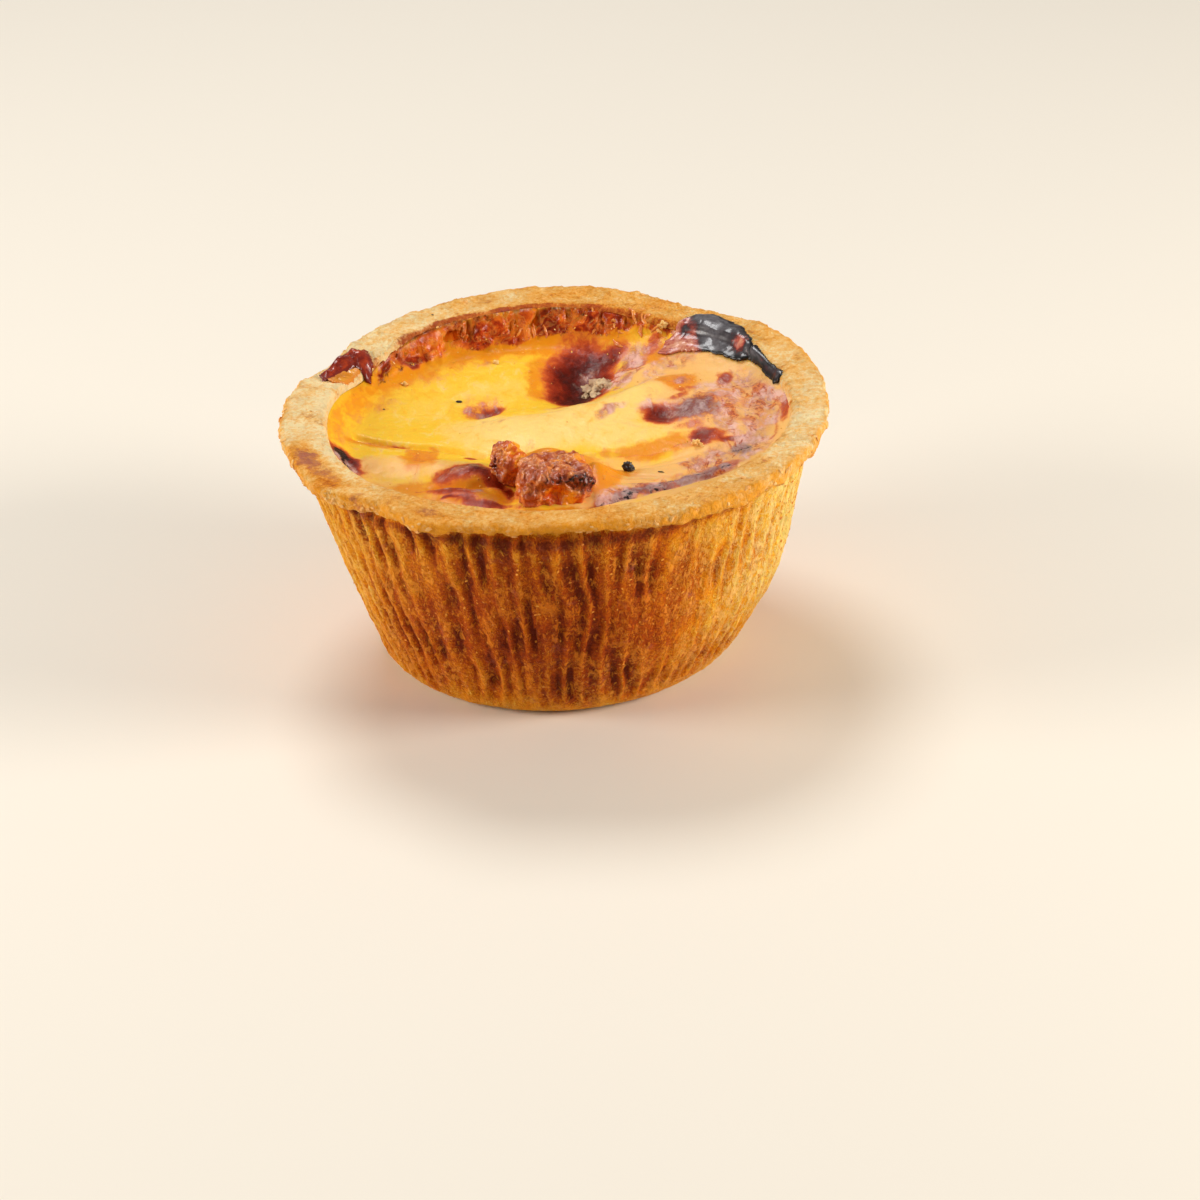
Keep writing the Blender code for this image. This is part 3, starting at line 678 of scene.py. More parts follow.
class QuicheCrumbSettings(bpy.types.PropertyGroup):
    """How many flakes, beads and crumbs there are, and their sizes"""

    flakes: FloatProperty(
        name="Flakes", description="Flakes for each square metre of the wall", default=300000.0
    )
    flake_size: length_property("Flake Size", "Width of a pastry flake", 0.22 * MM)
    beads: FloatProperty(
        name="Beads", description="Beads for each square metre of custard", default=110000.0
    )
    bead_size: length_property("Bead Size", "Radius of a bead of fat", 0.16 * MM)
    crumbs: FloatProperty(
        name="Crumbs", description="Crumbs for each square metre of the lip", default=220000.0
    )
    crumb_size: length_property("Crumb Size", "Width of a crumb of the lip", 0.42 * MM)


class QuicheStageSettings(bpy.types.PropertyGroup):
    """The floor and the lights"""

    floor_size: length_property("Floor Size", "Side of the square floor", 6.0)
    floor: colour_property("Floor", "Colour of the floor", srgb(240, 232, 218))
    right_power: FloatProperty(name="Right Light", description="Power in watts", default=4.4)
    left_power: FloatProperty(name="Left Light", description="Power in watts", default=3.2)
    top_power: FloatProperty(name="Top Light", description="Power in watts", default=3.6)


# ---------------------------------------------------------------- form


def between(points, places):
    """Values at some places, on a line through (place, value) points."""
    points = sorted(points)
    return np.interp(places, [p for p, _ in points], [v for _, v in points])


def around(places, angle):
    """The sum of bumps, each (direction, half width, amount), at angles in degrees."""
    total = 0.0
    for direction, half_width, amount in places:
        away = (angle - direction + 180.0) % 360.0 - 180.0
        total = total + amount * np.exp(-((away / half_width) ** 2))
    return total


def ripple(angle, seed):
    """A slow uneven wave round the rim, from -1 to 1."""
    turns = np.radians(angle)
    spots = zip(3.0 * np.cos(turns), 3.0 * np.sin(turns))
    return np.array([noise.noise(Vector((x, y, seed))) for x, y in spots])


def spotted(ways, spots):
    """The sum of soft spots, each (direction, reach, amount), in directions from a middle."""
    total = np.zeros(len(ways))
    for direction, reach, amount in spots:
        unit = np.array(Vector(direction).normalized()[:])
        away = np.degrees(np.arccos(np.clip(ways @ unit, -1.0, 1.0)))
        total += amount * np.exp(-((away / reach) ** 2))
    return total


class Rim:
    """The rim's line at some angles: its height, its outside and the edge of its inner wall."""

    def __init__(self, angles):
        self.angles = angles
        self.height = RIM_HEIGHT + around(RIM_RISES, angles) + RIM_RIPPLE * ripple(angles, 1.0)
        self.outside = RIM_RADIUS + around(RIM_BULGES, angles) + RIM_RIPPLE * ripple(angles, 5.0)
        self.edge = RIM_INNER_RADIUS + around(RIM_EDGE_BULGES, angles)
        self.edge = self.edge + RIM_RIPPLE * ripple(angles, 9.0)

    def inner_wall(self, height):
        share = np.clip(height / RIM_HEIGHT, 0.0, 1.0)
        return between(INNER_WALL, height) + share * (self.edge - RIM_INNER_RADIUS)

    def wall_bulge(self, height):
        total = 0.0
        for direction, half_width, middle, half_height, amount in WALL_BULGES:
            share = math.exp(-(((height - middle) / half_height) ** 2))
            total = total + share * around(((direction, half_width, amount),), self.angles)
        return total


def swell(place, x, y):
    """The rise of one mound or dip at points."""
    return place.rise * MM * np.exp(-ellipse(place, x, y))


def ellipse(place, x, y):
    """The squared distance from a place's middle, which is 1 on its ellipse."""
    turn = math.radians(place.turn)
    dx, dy = x / MM - place.x, y / MM - place.y
    along = (dx * math.cos(turn) + dy * math.sin(turn)) / place.long
    across = (dy * math.cos(turn) - dx * math.sin(turn)) / place.wide
    return along**2 + across**2


def distance_to_line(points, x, y):
    """The distance of points, in mm, from a line through corners given in mm."""
    nearest = np.full(np.shape(x), np.inf)
    for (x0, y0), (x1, y1) in zip(points, points[1:]):
        run, rise = x1 - x0, y1 - y0
        share = ((x / MM - x0) * run + (y / MM - y0) * rise) / (run * run + rise * rise)
        share = np.clip(share, 0.0, 1.0)
        away = np.hypot(x / MM - x0 - share * run, y / MM - y0 - share * rise)
        nearest = np.minimum(nearest, away)
    return nearest


def custard_height(x, y, angle, edge_radius, edge_height):
    """The height of the custard's top; it climbs the wall at its edge."""
    level = CUSTARD_LEVEL + sum(swell(place, x, y) for place in SWELLS.values())
    for crease in CREASES.values():
        away = distance_to_line(crease.points, x, y)
        level = level - crease.deep * MM * np.exp(-((away / crease.wide) ** 2))
    width = CLING_WIDTH + around(WIDER_CLINGS, angle)
    inwards = edge_radius - np.hypot(x, y)
    climb = np.clip(1.0 - inwards / width, 0.0, 1.0) ** 2.5
    return level + climb * (edge_height - level)


def top_height(x, y):
    """The height of the quiche's upper side at points: custard, or rim outside its edge."""
    angle = np.degrees(np.arctan2(y, x)) % 360.0
    rim = Rim(angle)
    radius = np.hypot(x, y)
    edge_height = rim.height - CUSTARD_EDGE_DROP + around(CARAMEL_CLIMB, angle)
    edge_radius = rim.inner_wall(edge_height) + CLING_REACH
    custard = custard_height(x, y, angle, edge_radius, edge_height)
    inner = np.clip((radius - edge_radius) / (rim.edge - edge_radius), 0.0, 1.0)
    wall = edge_height + inner * (rim.height - RIM_EDGE_DROP - edge_height)
    outer = np.clip((radius - rim.edge) / RIM_EDGE_WIDTH, 0.0, 1.0)
    top = wall + outer * (RIM_EDGE_DROP - 0.1 * MM)
    over = np.clip((radius - rim.outside + LIP_BEND) / LIP_BEND, 0.0, 1.0)
    top = top - LIP_BEND_DROP * over**2
    return np.where(radius < edge_radius, custard, top)


def drift(x, y, size, seed):
    """A smooth random shift of points, two arrays from about -1 to 1."""
    spots = list(zip(np.ravel(x) / (size * MM), np.ravel(y) / (size * MM)))
    shifts = []
    for layer in (seed, seed + DRIFT_APART):
        moves = [noise.noise(Vector((a, b, layer))) for a, b in spots]
        shifts.append(np.reshape(moves, np.shape(x)))
    return shifts


def stained(stains, x, y):
    """How strongly points are stained, from 0 to 1, by overlapping soft ellipses."""
    clear = np.ones(np.shape(x))
    for stain in stains:
        away = np.sqrt(ellipse(stain, x, y))
        soft = np.clip((1.45 - away) / 1.0, 0.0, 1.0)
        clear = clear * (1.0 - stain.strength * soft * soft * (3.0 - 2.0 * soft))
    return 1.0 - clear


# ---------------------------------------------------------------- meshes


def new_object(name, data):
    obj = bpy.data.objects.new(name, data)
    bpy.context.scene.collection.objects.link(obj)
    return obj


def lofted_mesh(name, rows, first, last, marks):
    """A closed mesh through rings of points, fanned to one point at each end.

    rows is an array of rings x columns x 3; marks maps an attribute's name to an array of
    rings x columns.
    """
    rings, columns = rows.shape[:2]
    points = np.concatenate((rows.reshape(-1, 3), [first], [last]))
    index = np.arange(rings * columns).reshape(rings, columns)
    after = np.roll(index, -1, axis=1)
    corners = (index[:-1], after[:-1], after[1:], index[1:])
    quads = np.stack([c.reshape(-1) for c in corners], axis=1).tolist()
    low, high = rings * columns, rings * columns + 1
    quads += [(low, b, a) for a, b in zip(index[0].tolist(), after[0].tolist())]
    quads += [(high, a, b) for a, b in zip(index[-1].tolist(), after[-1].tolist())]
    mesh = bpy.data.meshes.new(name)
    mesh.from_pydata(points.tolist(), [], quads)
    for mark, values in marks.items():
        store(mesh, mark, np.concatenate((values.reshape(-1), [0.0, 0.0])))
    mesh.shade_smooth()
    return new_object(name, mesh)


def store(mesh, mark, values):
    """Keeps one number for each point of a mesh, under a name."""
    layer = mesh.attributes.new(mark, "FLOAT", "POINT")
    layer.data.foreach_set("value", np.asarray(values, dtype=np.float32))


def polar_rows(radii, angles, heights):
    """Points of rings, from arrays of rings x columns."""
    turns = np.radians(angles)
    return np.stack((radii * np.cos(turns), radii * np.sin(turns), heights), axis=2)


def smooth_rows(rows, spacings):
    """Adds rings on a smooth line through the given ones, about a spacing apart.

    rows is an array of rings x columns x values, whose first three are a place.
    """
    padded = np.concatenate((rows[:1], rows, rows[-1:]))
    result = []
    for step, spacing in enumerate(spacings):
        before, here, there, after = padded[step : step + 4]
        length = np.linalg.norm((there - here)[:, :3], axis=1).mean()
        count = max(1, round(length / spacing))
        for t in np.arange(count) / count:
            bend = 2.0 * here + (there - before) * t
            bend = bend + (2.0 * before - 5.0 * here + 4.0 * there - after) * t**2
            bend = bend + (3.0 * here - before - 3.0 * there + after) * t**3
            result.append(0.5 * bend)
    result.append(rows[-1])
    return np.array(result)


# ---------------------------------------------------------------- node trees


class Graph:
    """Adds nodes to a tree. An input is another node's socket, or a plain value."""

    WIDE = 12

    def __init__(self, tree):
        self.tree = tree

    def add(self, kind, inputs=None, **settings):
        node = self.tree.nodes.new(kind)
        count = len(self.tree.nodes)
        node.location = (190.0 * (count % self.WIDE), -260.0 * (count // self.WIDE))
        for name, value in settings.items():
            setattr(node, name, value)
        for key, value in (inputs or {}).items():
            self.feed(value, node.inputs[key])
        return node

    def feed(self, value, socket):
        if isinstance(value, bpy.types.NodeSocket):
            self.tree.links.new(value, socket)
        else:
            socket.default_value = value

    def math(self, operation, a, b=0.0, c=0.0, clamp=False):
        settings = {"operation": operation, "use_clamp": clamp}
        return self.add("ShaderNodeMath", {0: a, 1: b, 2: c}, **settings).outputs[0]

    def product(self, *factors):
        result = factors[0]
        for factor in factors[1:]:
            result = self.math("MULTIPLY", result, factor)
        return result

    def total(self, *terms):
        result = terms[0]
        for term in terms[1:]:
            result = self.math("ADD", result, term)
        return result

    def remap(self, value, low, high, to_low=0.0, to_high=1.0, smooth=True):
        inputs = {"Value": value, "From Min": low, "From Max": high}
        inputs.update({"To Min": to_low, "To Max": to_high})
        kind = "SMOOTHSTEP" if smooth else "LINEAR"
        return self.add("ShaderNodeMapRange", inputs, interpolation_type=kind).outputs[0]

    def noise(self, vector, scale, detail=2.0, rough=0.5, distortion=0.0):
        inputs = {"Vector": vector, "Scale": scale, "Detail": detail}
        inputs.update({"Roughness": rough, "Distortion": distortion})
        return self.add("ShaderNodeTexNoise", inputs).outputs[0]

    def waver(self, *noise):
        """Noise about zero, from about -0.5 to 0.5."""
        return self.math("SUBTRACT", self.noise(*noise), 0.5)

    def stretch(self, vector, x, y, z):
        inputs = {0: vector, 1: (x, y, z)}
        return self.add("ShaderNodeVectorMath", inputs, operation="MULTIPLY").outputs[0]

    def mix(self, factor, a, b, blend="MIX"):
        node = self.add("ShaderNodeMix", {0: factor, 6: a, 7: b}, data_type="RGBA")
        node.blend_type = blend
        return node.outputs[2]

    def ramp(self, factor, stops):
        node = self.add("ShaderNodeValToRGB", {0: factor})
        elements = node.color_ramp.elements
        while len(elements) < len(stops):
            elements.new(0.5)
        for element, (place, colour) in zip(elements, stops):
            element.position = place
            element.color = colour
        return node.outputs[0]

    def mark(self, name):
        """The value that a mesh keeps under a name, in a material."""
        return self.add("ShaderNodeAttribute", attribute_name=name).outputs[2]

    def kept(self, name):
        """The value that a mesh keeps under a name, in Geometry Nodes."""
        return self.add("GeometryNodeInputNamedAttribute", {"Name": name}).outputs[0]

    def keep(self, geometry, name, value):
        """Stores a value on a mesh's points, in Geometry Nodes."""
        inputs = {"Geometry": geometry, "Name": name, "Value": value}
        return self.add("GeometryNodeStoreNamedAttribute", inputs).outputs[0]


def geometry_tree(name, sockets):
    """A Geometry Nodes tree with a mesh and named values in, and a mesh out."""
    tree = bpy.data.node_groups.new(name, "GeometryNodeTree")
    kinds = {"float": "NodeSocketFloat", "int": "NodeSocketInt", "material": "NodeSocketMaterial"}
    tree.interface.new_socket("Geometry", in_out="INPUT", socket_type="NodeSocketGeometry")
    for label, kind in sockets.items():
        tree.interface.new_socket(label, in_out="INPUT", socket_type=kinds[kind])
    tree.interface.new_socket("Geometry", in_out="OUTPUT", socket_type="NodeSocketGeometry")
    graph = Graph(tree)
    return graph, graph.add("NodeGroupInput").outputs


def end_tree(graph, geometry, material):
    """Ends a Geometry Nodes tree with real, finished mesh."""
    real = graph.add("GeometryNodeRealizeInstances", {0: geometry}).outputs[0]
    done = graph.add("GeometryNodeSetMaterial", {"Geometry": real, "Material": material})
    graph.add("NodeGroupOutput", {0: done.outputs[0]})
    return graph.tree


def settled(obj):
    """Keeps what an object's modifiers make of it as its plain mesh."""
    graph = bpy.context.evaluated_depsgraph_get()
    graph.update()
    old, result = obj.data, bpy.data.meshes.new_from_object(obj.evaluated_get(graph))
    obj.modifiers.clear()
    obj.data = result
    bpy.data.meshes.remove(old)
    result.name = obj.name
    return obj


def apply_tree(obj, tree, values):
    """Runs a tree on an object and keeps the result as its plain mesh."""
    modifier = obj.modifiers.new(tree.name, "NODES")
    modifier.node_group = tree
    for item in tree.interface.items_tree:
        if item.in_out == "INPUT" and item.name in values:
            modifier[item.identifier] = values[item.name]
    return settled(obj)


def pushed(graph, geometry, distance):
    """Moves each point along its normal."""
    normal = graph.add("GeometryNodeInputNormal").outputs[0]
    inputs = {0: normal, "Scale": distance}
    offset = graph.add("ShaderNodeVectorMath", inputs, operation="SCALE").outputs[0]
    inputs = {"Geometry": geometry, "Offset": offset}
    return graph.add("GeometryNodeSetPosition", inputs).outputs[0]


def pleated_tree():
    """Presses pleats, flakes and a crumbly lip into the smooth case."""
    sockets = {
        "Pleats": "int",
        "Pleat Depth": "float",
        "Wander": "float",
        "Flake Depth": "float",
        "Crumble": "float",
        "Material": "material",
    }
    g, given = geometry_tree("pleated_case", sockets)
    place = g.add("GeometryNodeInputPosition").outputs[0]
    height = g.add("ShaderNodeSeparateXYZ", {0: place}).outputs[2]
    turn, wall = g.kept("turn"), g.kept("wall")
    lip, rim = g.kept("lip"), g.kept("rim")

    slow = g.stretch(place, 1.0, 1.0, 0.55)
    sway = g.waver(slow, 55.0, 2.0, 0.55)
    sway = g.product(sway, given["Wander"], 2.0)
    phase = g.total(g.product(turn, given["Pleats"]), sway)
    cell = g.math("FLOOR", phase)
    saw = g.math("SUBTRACT", phase, cell)
    tooth = g.math("SUBTRACT", g.product(saw, 2.0), 1.0)
    tooth = g.math("SUBTRACT", 1.0, g.math("ABSOLUTE", tooth))
    thin = g.kept("thin")
    ridge = g.remap(tooth, g.product(thin, 0.42), g.total(0.8, g.product(thin, 0.2)))
    spot = g.add("ShaderNodeCombineXYZ", {0: cell, 1: g.product(height, 70.0), 2: 3.7}).outputs[0]
    uneven = g.remap(g.noise(spot, 1.0, 1.0), 0.3, 0.68, 0.2, 1.3, smooth=False)
    patch = g.remap(g.noise(place, 90.0, 2.0), 0.38, 0.6, 0.35, 1.0)
    foot = g.remap(height, 0.6 * MM, 6.0 * MM)
    depth = g.product(given["Pleat Depth"], uneven, patch, foot, wall)
    depth = g.product(depth, g.kept("pleating"))
    cut = g.product(g.math("SUBTRACT", ridge, 1.0), depth)

    fibre = g.stretch(place, 1.0, 1.0, 0.45)
    flakes = g.noise(fibre, 620.0, 4.0, 0.62, 0.4)
    layers = g.noise(fibre, 230.0, 3.0, 0.6, 0.8)
    flaky = g.total(g.math("SUBTRACT", flakes, 0.5), g.math("SUBTRACT", layers, 0.5))
    flaky = g.product(flaky, given["Flake Depth"], 2.0, g.total(wall, g.product(lip, 0.4)))
    chunks = g.waver(place, 320.0, 5.0, 0.66, 0.5)
    rough = g.product(chunks, given["Crumble"], g.total(g.product(lip, 1.5), g.product(rim, 0.4)))
    grain = g.product(g.waver(place, 1100.0, 3.0, 0.6), 0.34 * MM)
    grain = g.product(grain, g.total(wall, lip, rim))
    push = g.total(cut, flaky, rough, grain)

    mesh = pushed(g, given["Geometry"], push)
    sag = g.waver(place, 260.0, 4.0, 0.6)
    down = g.add("ShaderNodeCombineXYZ", {2: g.product(sag, lip, given["Crumble"], 1.8)})
    inputs = {"Geometry": mesh, "Offset": down.outputs[0]}
    mesh = g.add("GeometryNodeSetPosition", inputs).outputs[0]
    mesh = g.keep(mesh, "ridge", g.total(1.0, g.math("DIVIDE", cut, given["Pleat Depth"])))
    mesh = g.keep(mesh, "flake", flakes)
    return end_tree(g, mesh, given["Material"])


def skin_tree():
    """Wrinkles the custard's toasted skin and dimples the rest."""
    sockets = {"Wrinkle Depth": "float", "Dimple Depth": "float", "Material": "material"}
    g, given = geometry_tree("custard_skin", sockets)
    place = g.add("GeometryNodeInputPosition").outputs[0]
    toast, top, band = g.kept("toast"), g.kept("top"), g.kept("band")
    film = g.kept("film")
    wrinkles = g.waver(place, 520.0, 3.0, 0.55, 1.0)
    folds = g.waver(place, 210.0, 2.0, 0.5, 1.5)
    wrinkled = g.product(g.total(wrinkles, folds), given["Wrinkle Depth"])
    wrinkled = g.product(wrinkled, g.total(g.product(toast, 0.9), g.product(film, 0.15), 0.06))
    ridges = g.waver(place, 330.0, 3.0, 0.55, 0.8)
    streaks = g.product(ridges, g.math("MINIMUM", band, 1.0), 5.0 * MM)
    bumps = g.waver(place, 150.0, 3.0, 0.55, 0.3)
    dimples = g.waver(place, 420.0, 3.0, 0.5)
    dimples = g.total(g.product(bumps, 2.8), g.product(dimples, 0.7))
    dimples = g.product(dimples, given["Dimple Depth"], 2.0)
    push = g.product(g.total(wrinkled, dimples, streaks), top)
    mesh = pushed(g, given["Geometry"], push)
    mesh = g.keep(mesh, "relief", wrinkles)
    return end_tree(g, mesh, given["Material"])


def crag_tree():
    """Breaks a rounded piece of bacon into crags and small bubbles."""
    g, given = geometry_tree("toasted_crags", {"Crag Depth": "float", "Material": "material"})
    place = g.add("GeometryNodeInputPosition").outputs[0]
    dark = g.kept("dark")
    lumps = g.waver(place, 300.0, 3.0, 0.55, 0.6)
    crags = g.math("ABSOLUTE", g.waver(place, 380.0, 4.0, 0.6, 1.2))
    crags = g.product(crags, g.total(0.35, g.product(dark, 1.1)))
    fine = g.waver(place, 1300.0, 4.0, 0.62)
    bubbles = g.add("ShaderNodeTexVoronoi", {"Vector": place, "Scale": 620.0}).outputs[0]
    bubbles = g.product(g.remap(bubbles, 0.36, 0.12), g.math("SUBTRACT", 1.0, dark))
    bubbles = g.product(bubbles, g.remap(g.noise(place, 500.0, 1.0), 0.5, 0.6))
    push = g.total(g.product(lumps, 1.8), g.product(crags, -2.6), g.product(fine, 0.2))
    push = g.product(g.total(push, g.product(bubbles, 0.3)), given["Crag Depth"])
    mesh = pushed(g, given["Geometry"], push)
    mesh = g.keep(mesh, "crag", crags)
    mesh = g.keep(mesh, "bubble", bubbles)
    return end_tree(g, mesh, given["Material"])


def scatter_tree(name, flatness):
    """Scatters small flattened grains over the marked part of a surface."""
    sockets = {
        "Density": "float",
        "Size": "float",
        "Sink": "float",
        "Seed": "int",
        "Material": "material",
    }
    g, given = geometry_tree(name, sockets)
    inputs = {"Mesh": given["Geometry"], "Seed": given["Seed"]}
    inputs["Density"] = g.product(given["Density"], g.kept("scatter"))
    scattered = g.add("GeometryNodeDistributePointsOnFaces", inputs)
    grain = g.add("GeometryNodeMeshIcoSphere", {"Radius": 1.0, "Subdivisions": 1}).outputs[0]
    place = g.add("GeometryNodeInputPosition").outputs[0]
    lumpy = g.product(g.waver(place, 1.1, 2.0), 1.1)
    grain = pushed(g, grain, lumpy)
    spread = {"Seed": given["Seed"]}
    size = g.add("FunctionNodeRandomValue", {2: 0.35, 3: 1.0, **spread}, data_type="FLOAT")
    size = g.product(size.outputs[1], given["Size"])
    spin = g.add("FunctionNodeRandomValue", {2: 0.0, 3: 2.0 * math.pi, **spread}, data_type="FLOAT")
    spin = g.add("ShaderNodeCombineXYZ", {2: spin.outputs[1]}).outputs[0]
    tilt = {0: scattered.outputs["Rotation"], 1: spin}
    turned = g.add("FunctionNodeRotateRotation", tilt, rotation_space="LOCAL").outputs[0]
    wide = g.product(size, 1.0)
    flat = g.product(size, flatness)
    long = g.product(size, 1.6)
    scale = g.add("ShaderNodeCombineXYZ", {0: wide, 1: long, 2: flat}).outputs[0]
    inputs = {"Points": scattered.outputs["Points"], "Instance": grain}
    inputs.update({"Rotation": turned, "Scale": scale})
    grains = g.add("GeometryNodeInstanceOnPoints", inputs).outputs[0]
    down = g.add("ShaderNodeCombineXYZ", {2: g.product(given["Sink"], -1.0)}).outputs[0]
    inputs = {"Instances": grains, "Translation": down}
    grains = g.add("GeometryNodeTranslateInstances", inputs).outputs[0]
    return end_tree(g, grains, given["Material"])


# ---------------------------------------------------------------- materials


def shader_group(name, values, outputs):
    """An empty shader node group with named numbers in and numbers out."""
    tree = bpy.data.node_groups.new(name, "ShaderNodeTree")
    for label, value in values.items():
        socket = tree.interface.new_socket(label, in_out="INPUT", socket_type="NodeSocketFloat")
        socket.default_value = value
    for label in outputs:
        tree.interface.new_socket(label, in_out="OUTPUT", socket_type="NodeSocketFloat")
    graph = Graph(tree)
    return graph, graph.add("NodeGroupInput").outputs


def crinkle_group():
    """Fine crinkles and grains, as a height for bump."""
    name = "Fine Crinkle"
    if name in bpy.data.node_groups:
        return bpy.data.node_groups[name]
    g, given = shader_group(name, {"Scale": 1500.0, "Stretch": 1.0, "Sharpness": 0.5}, ("Height",))
    place = g.add("ShaderNodeTexCoord").outputs["Object"]
    tall = g.add("ShaderNodeCombineXYZ", {0: 1.0, 1: 1.0, 2: given["Stretch"]}).outputs[0]
    inputs = {0: place, 1: tall}
    place = g.add("ShaderNodeVectorMath", inputs, operation="MULTIPLY").outputs[0]
    soft = g.noise(place, given["Scale"], 4.0, 0.6, 0.3)
    cells = g.add("ShaderNodeTexVoronoi", {"Vector": place, "Scale": given["Scale"]}).outputs[0]
    height = g.total(soft, g.product(cells, given["Sharpness"]))
    g.add("NodeGroupOutput", {0: height})
    return g.tree


def crinkled(g, scale, sharpness):
    """The height of fine crinkles, of a material's own scale and sharpness."""
    node = g.add("ShaderNodeGroup", node_tree=crinkle_group())
    node.inputs["Scale"].default_value = scale
    node.inputs["Sharpness"].default_value = sharpness
    return node.outputs[0]


def new_material(name, roughness, shine=0.5, coat=0.0, scatter=0.0, depth=1.0 * MM):
    """A material with its Principled shader; what is the same all over is set on its sockets."""
    material = bpy.data.materials.new(name)
    material.use_nodes = True
    shader = material.node_tree.nodes["Principled BSDF"]
    shader.inputs["Roughness"].default_value = roughness
    shader.inputs["Specular IOR Level"].default_value = shine
    shader.inputs["Coat Weight"].default_value = coat
    shader.inputs["Coat Roughness"].default_value = 0.12
    shader.inputs["Subsurface Weight"].default_value = scatter
    shader.inputs["Subsurface Radius"].default_value = (1.0, 0.45, 0.15)
    shader.inputs["Subsurface Scale"].default_value = depth
    return material, Graph(material.node_tree), shader


def finish_material(g, shader, colour, roughness=None, height=None, bump=0.3, distance=0.3 * MM):
    g.tree.links.new(colour, shader.inputs["Base Color"])
    if roughness is not None:
        g.tree.links.new(roughness, shader.inputs["Roughness"])
    if height is not None:
        inputs = {"Height": height, "Strength": bump, "Distance": distance}
        normal = g.add("ShaderNodeBump", inputs).outputs[0]
        g.tree.links.new(normal, shader.inputs["Normal"])


def solid(colour):
    return (*colour[:3], 1.0)


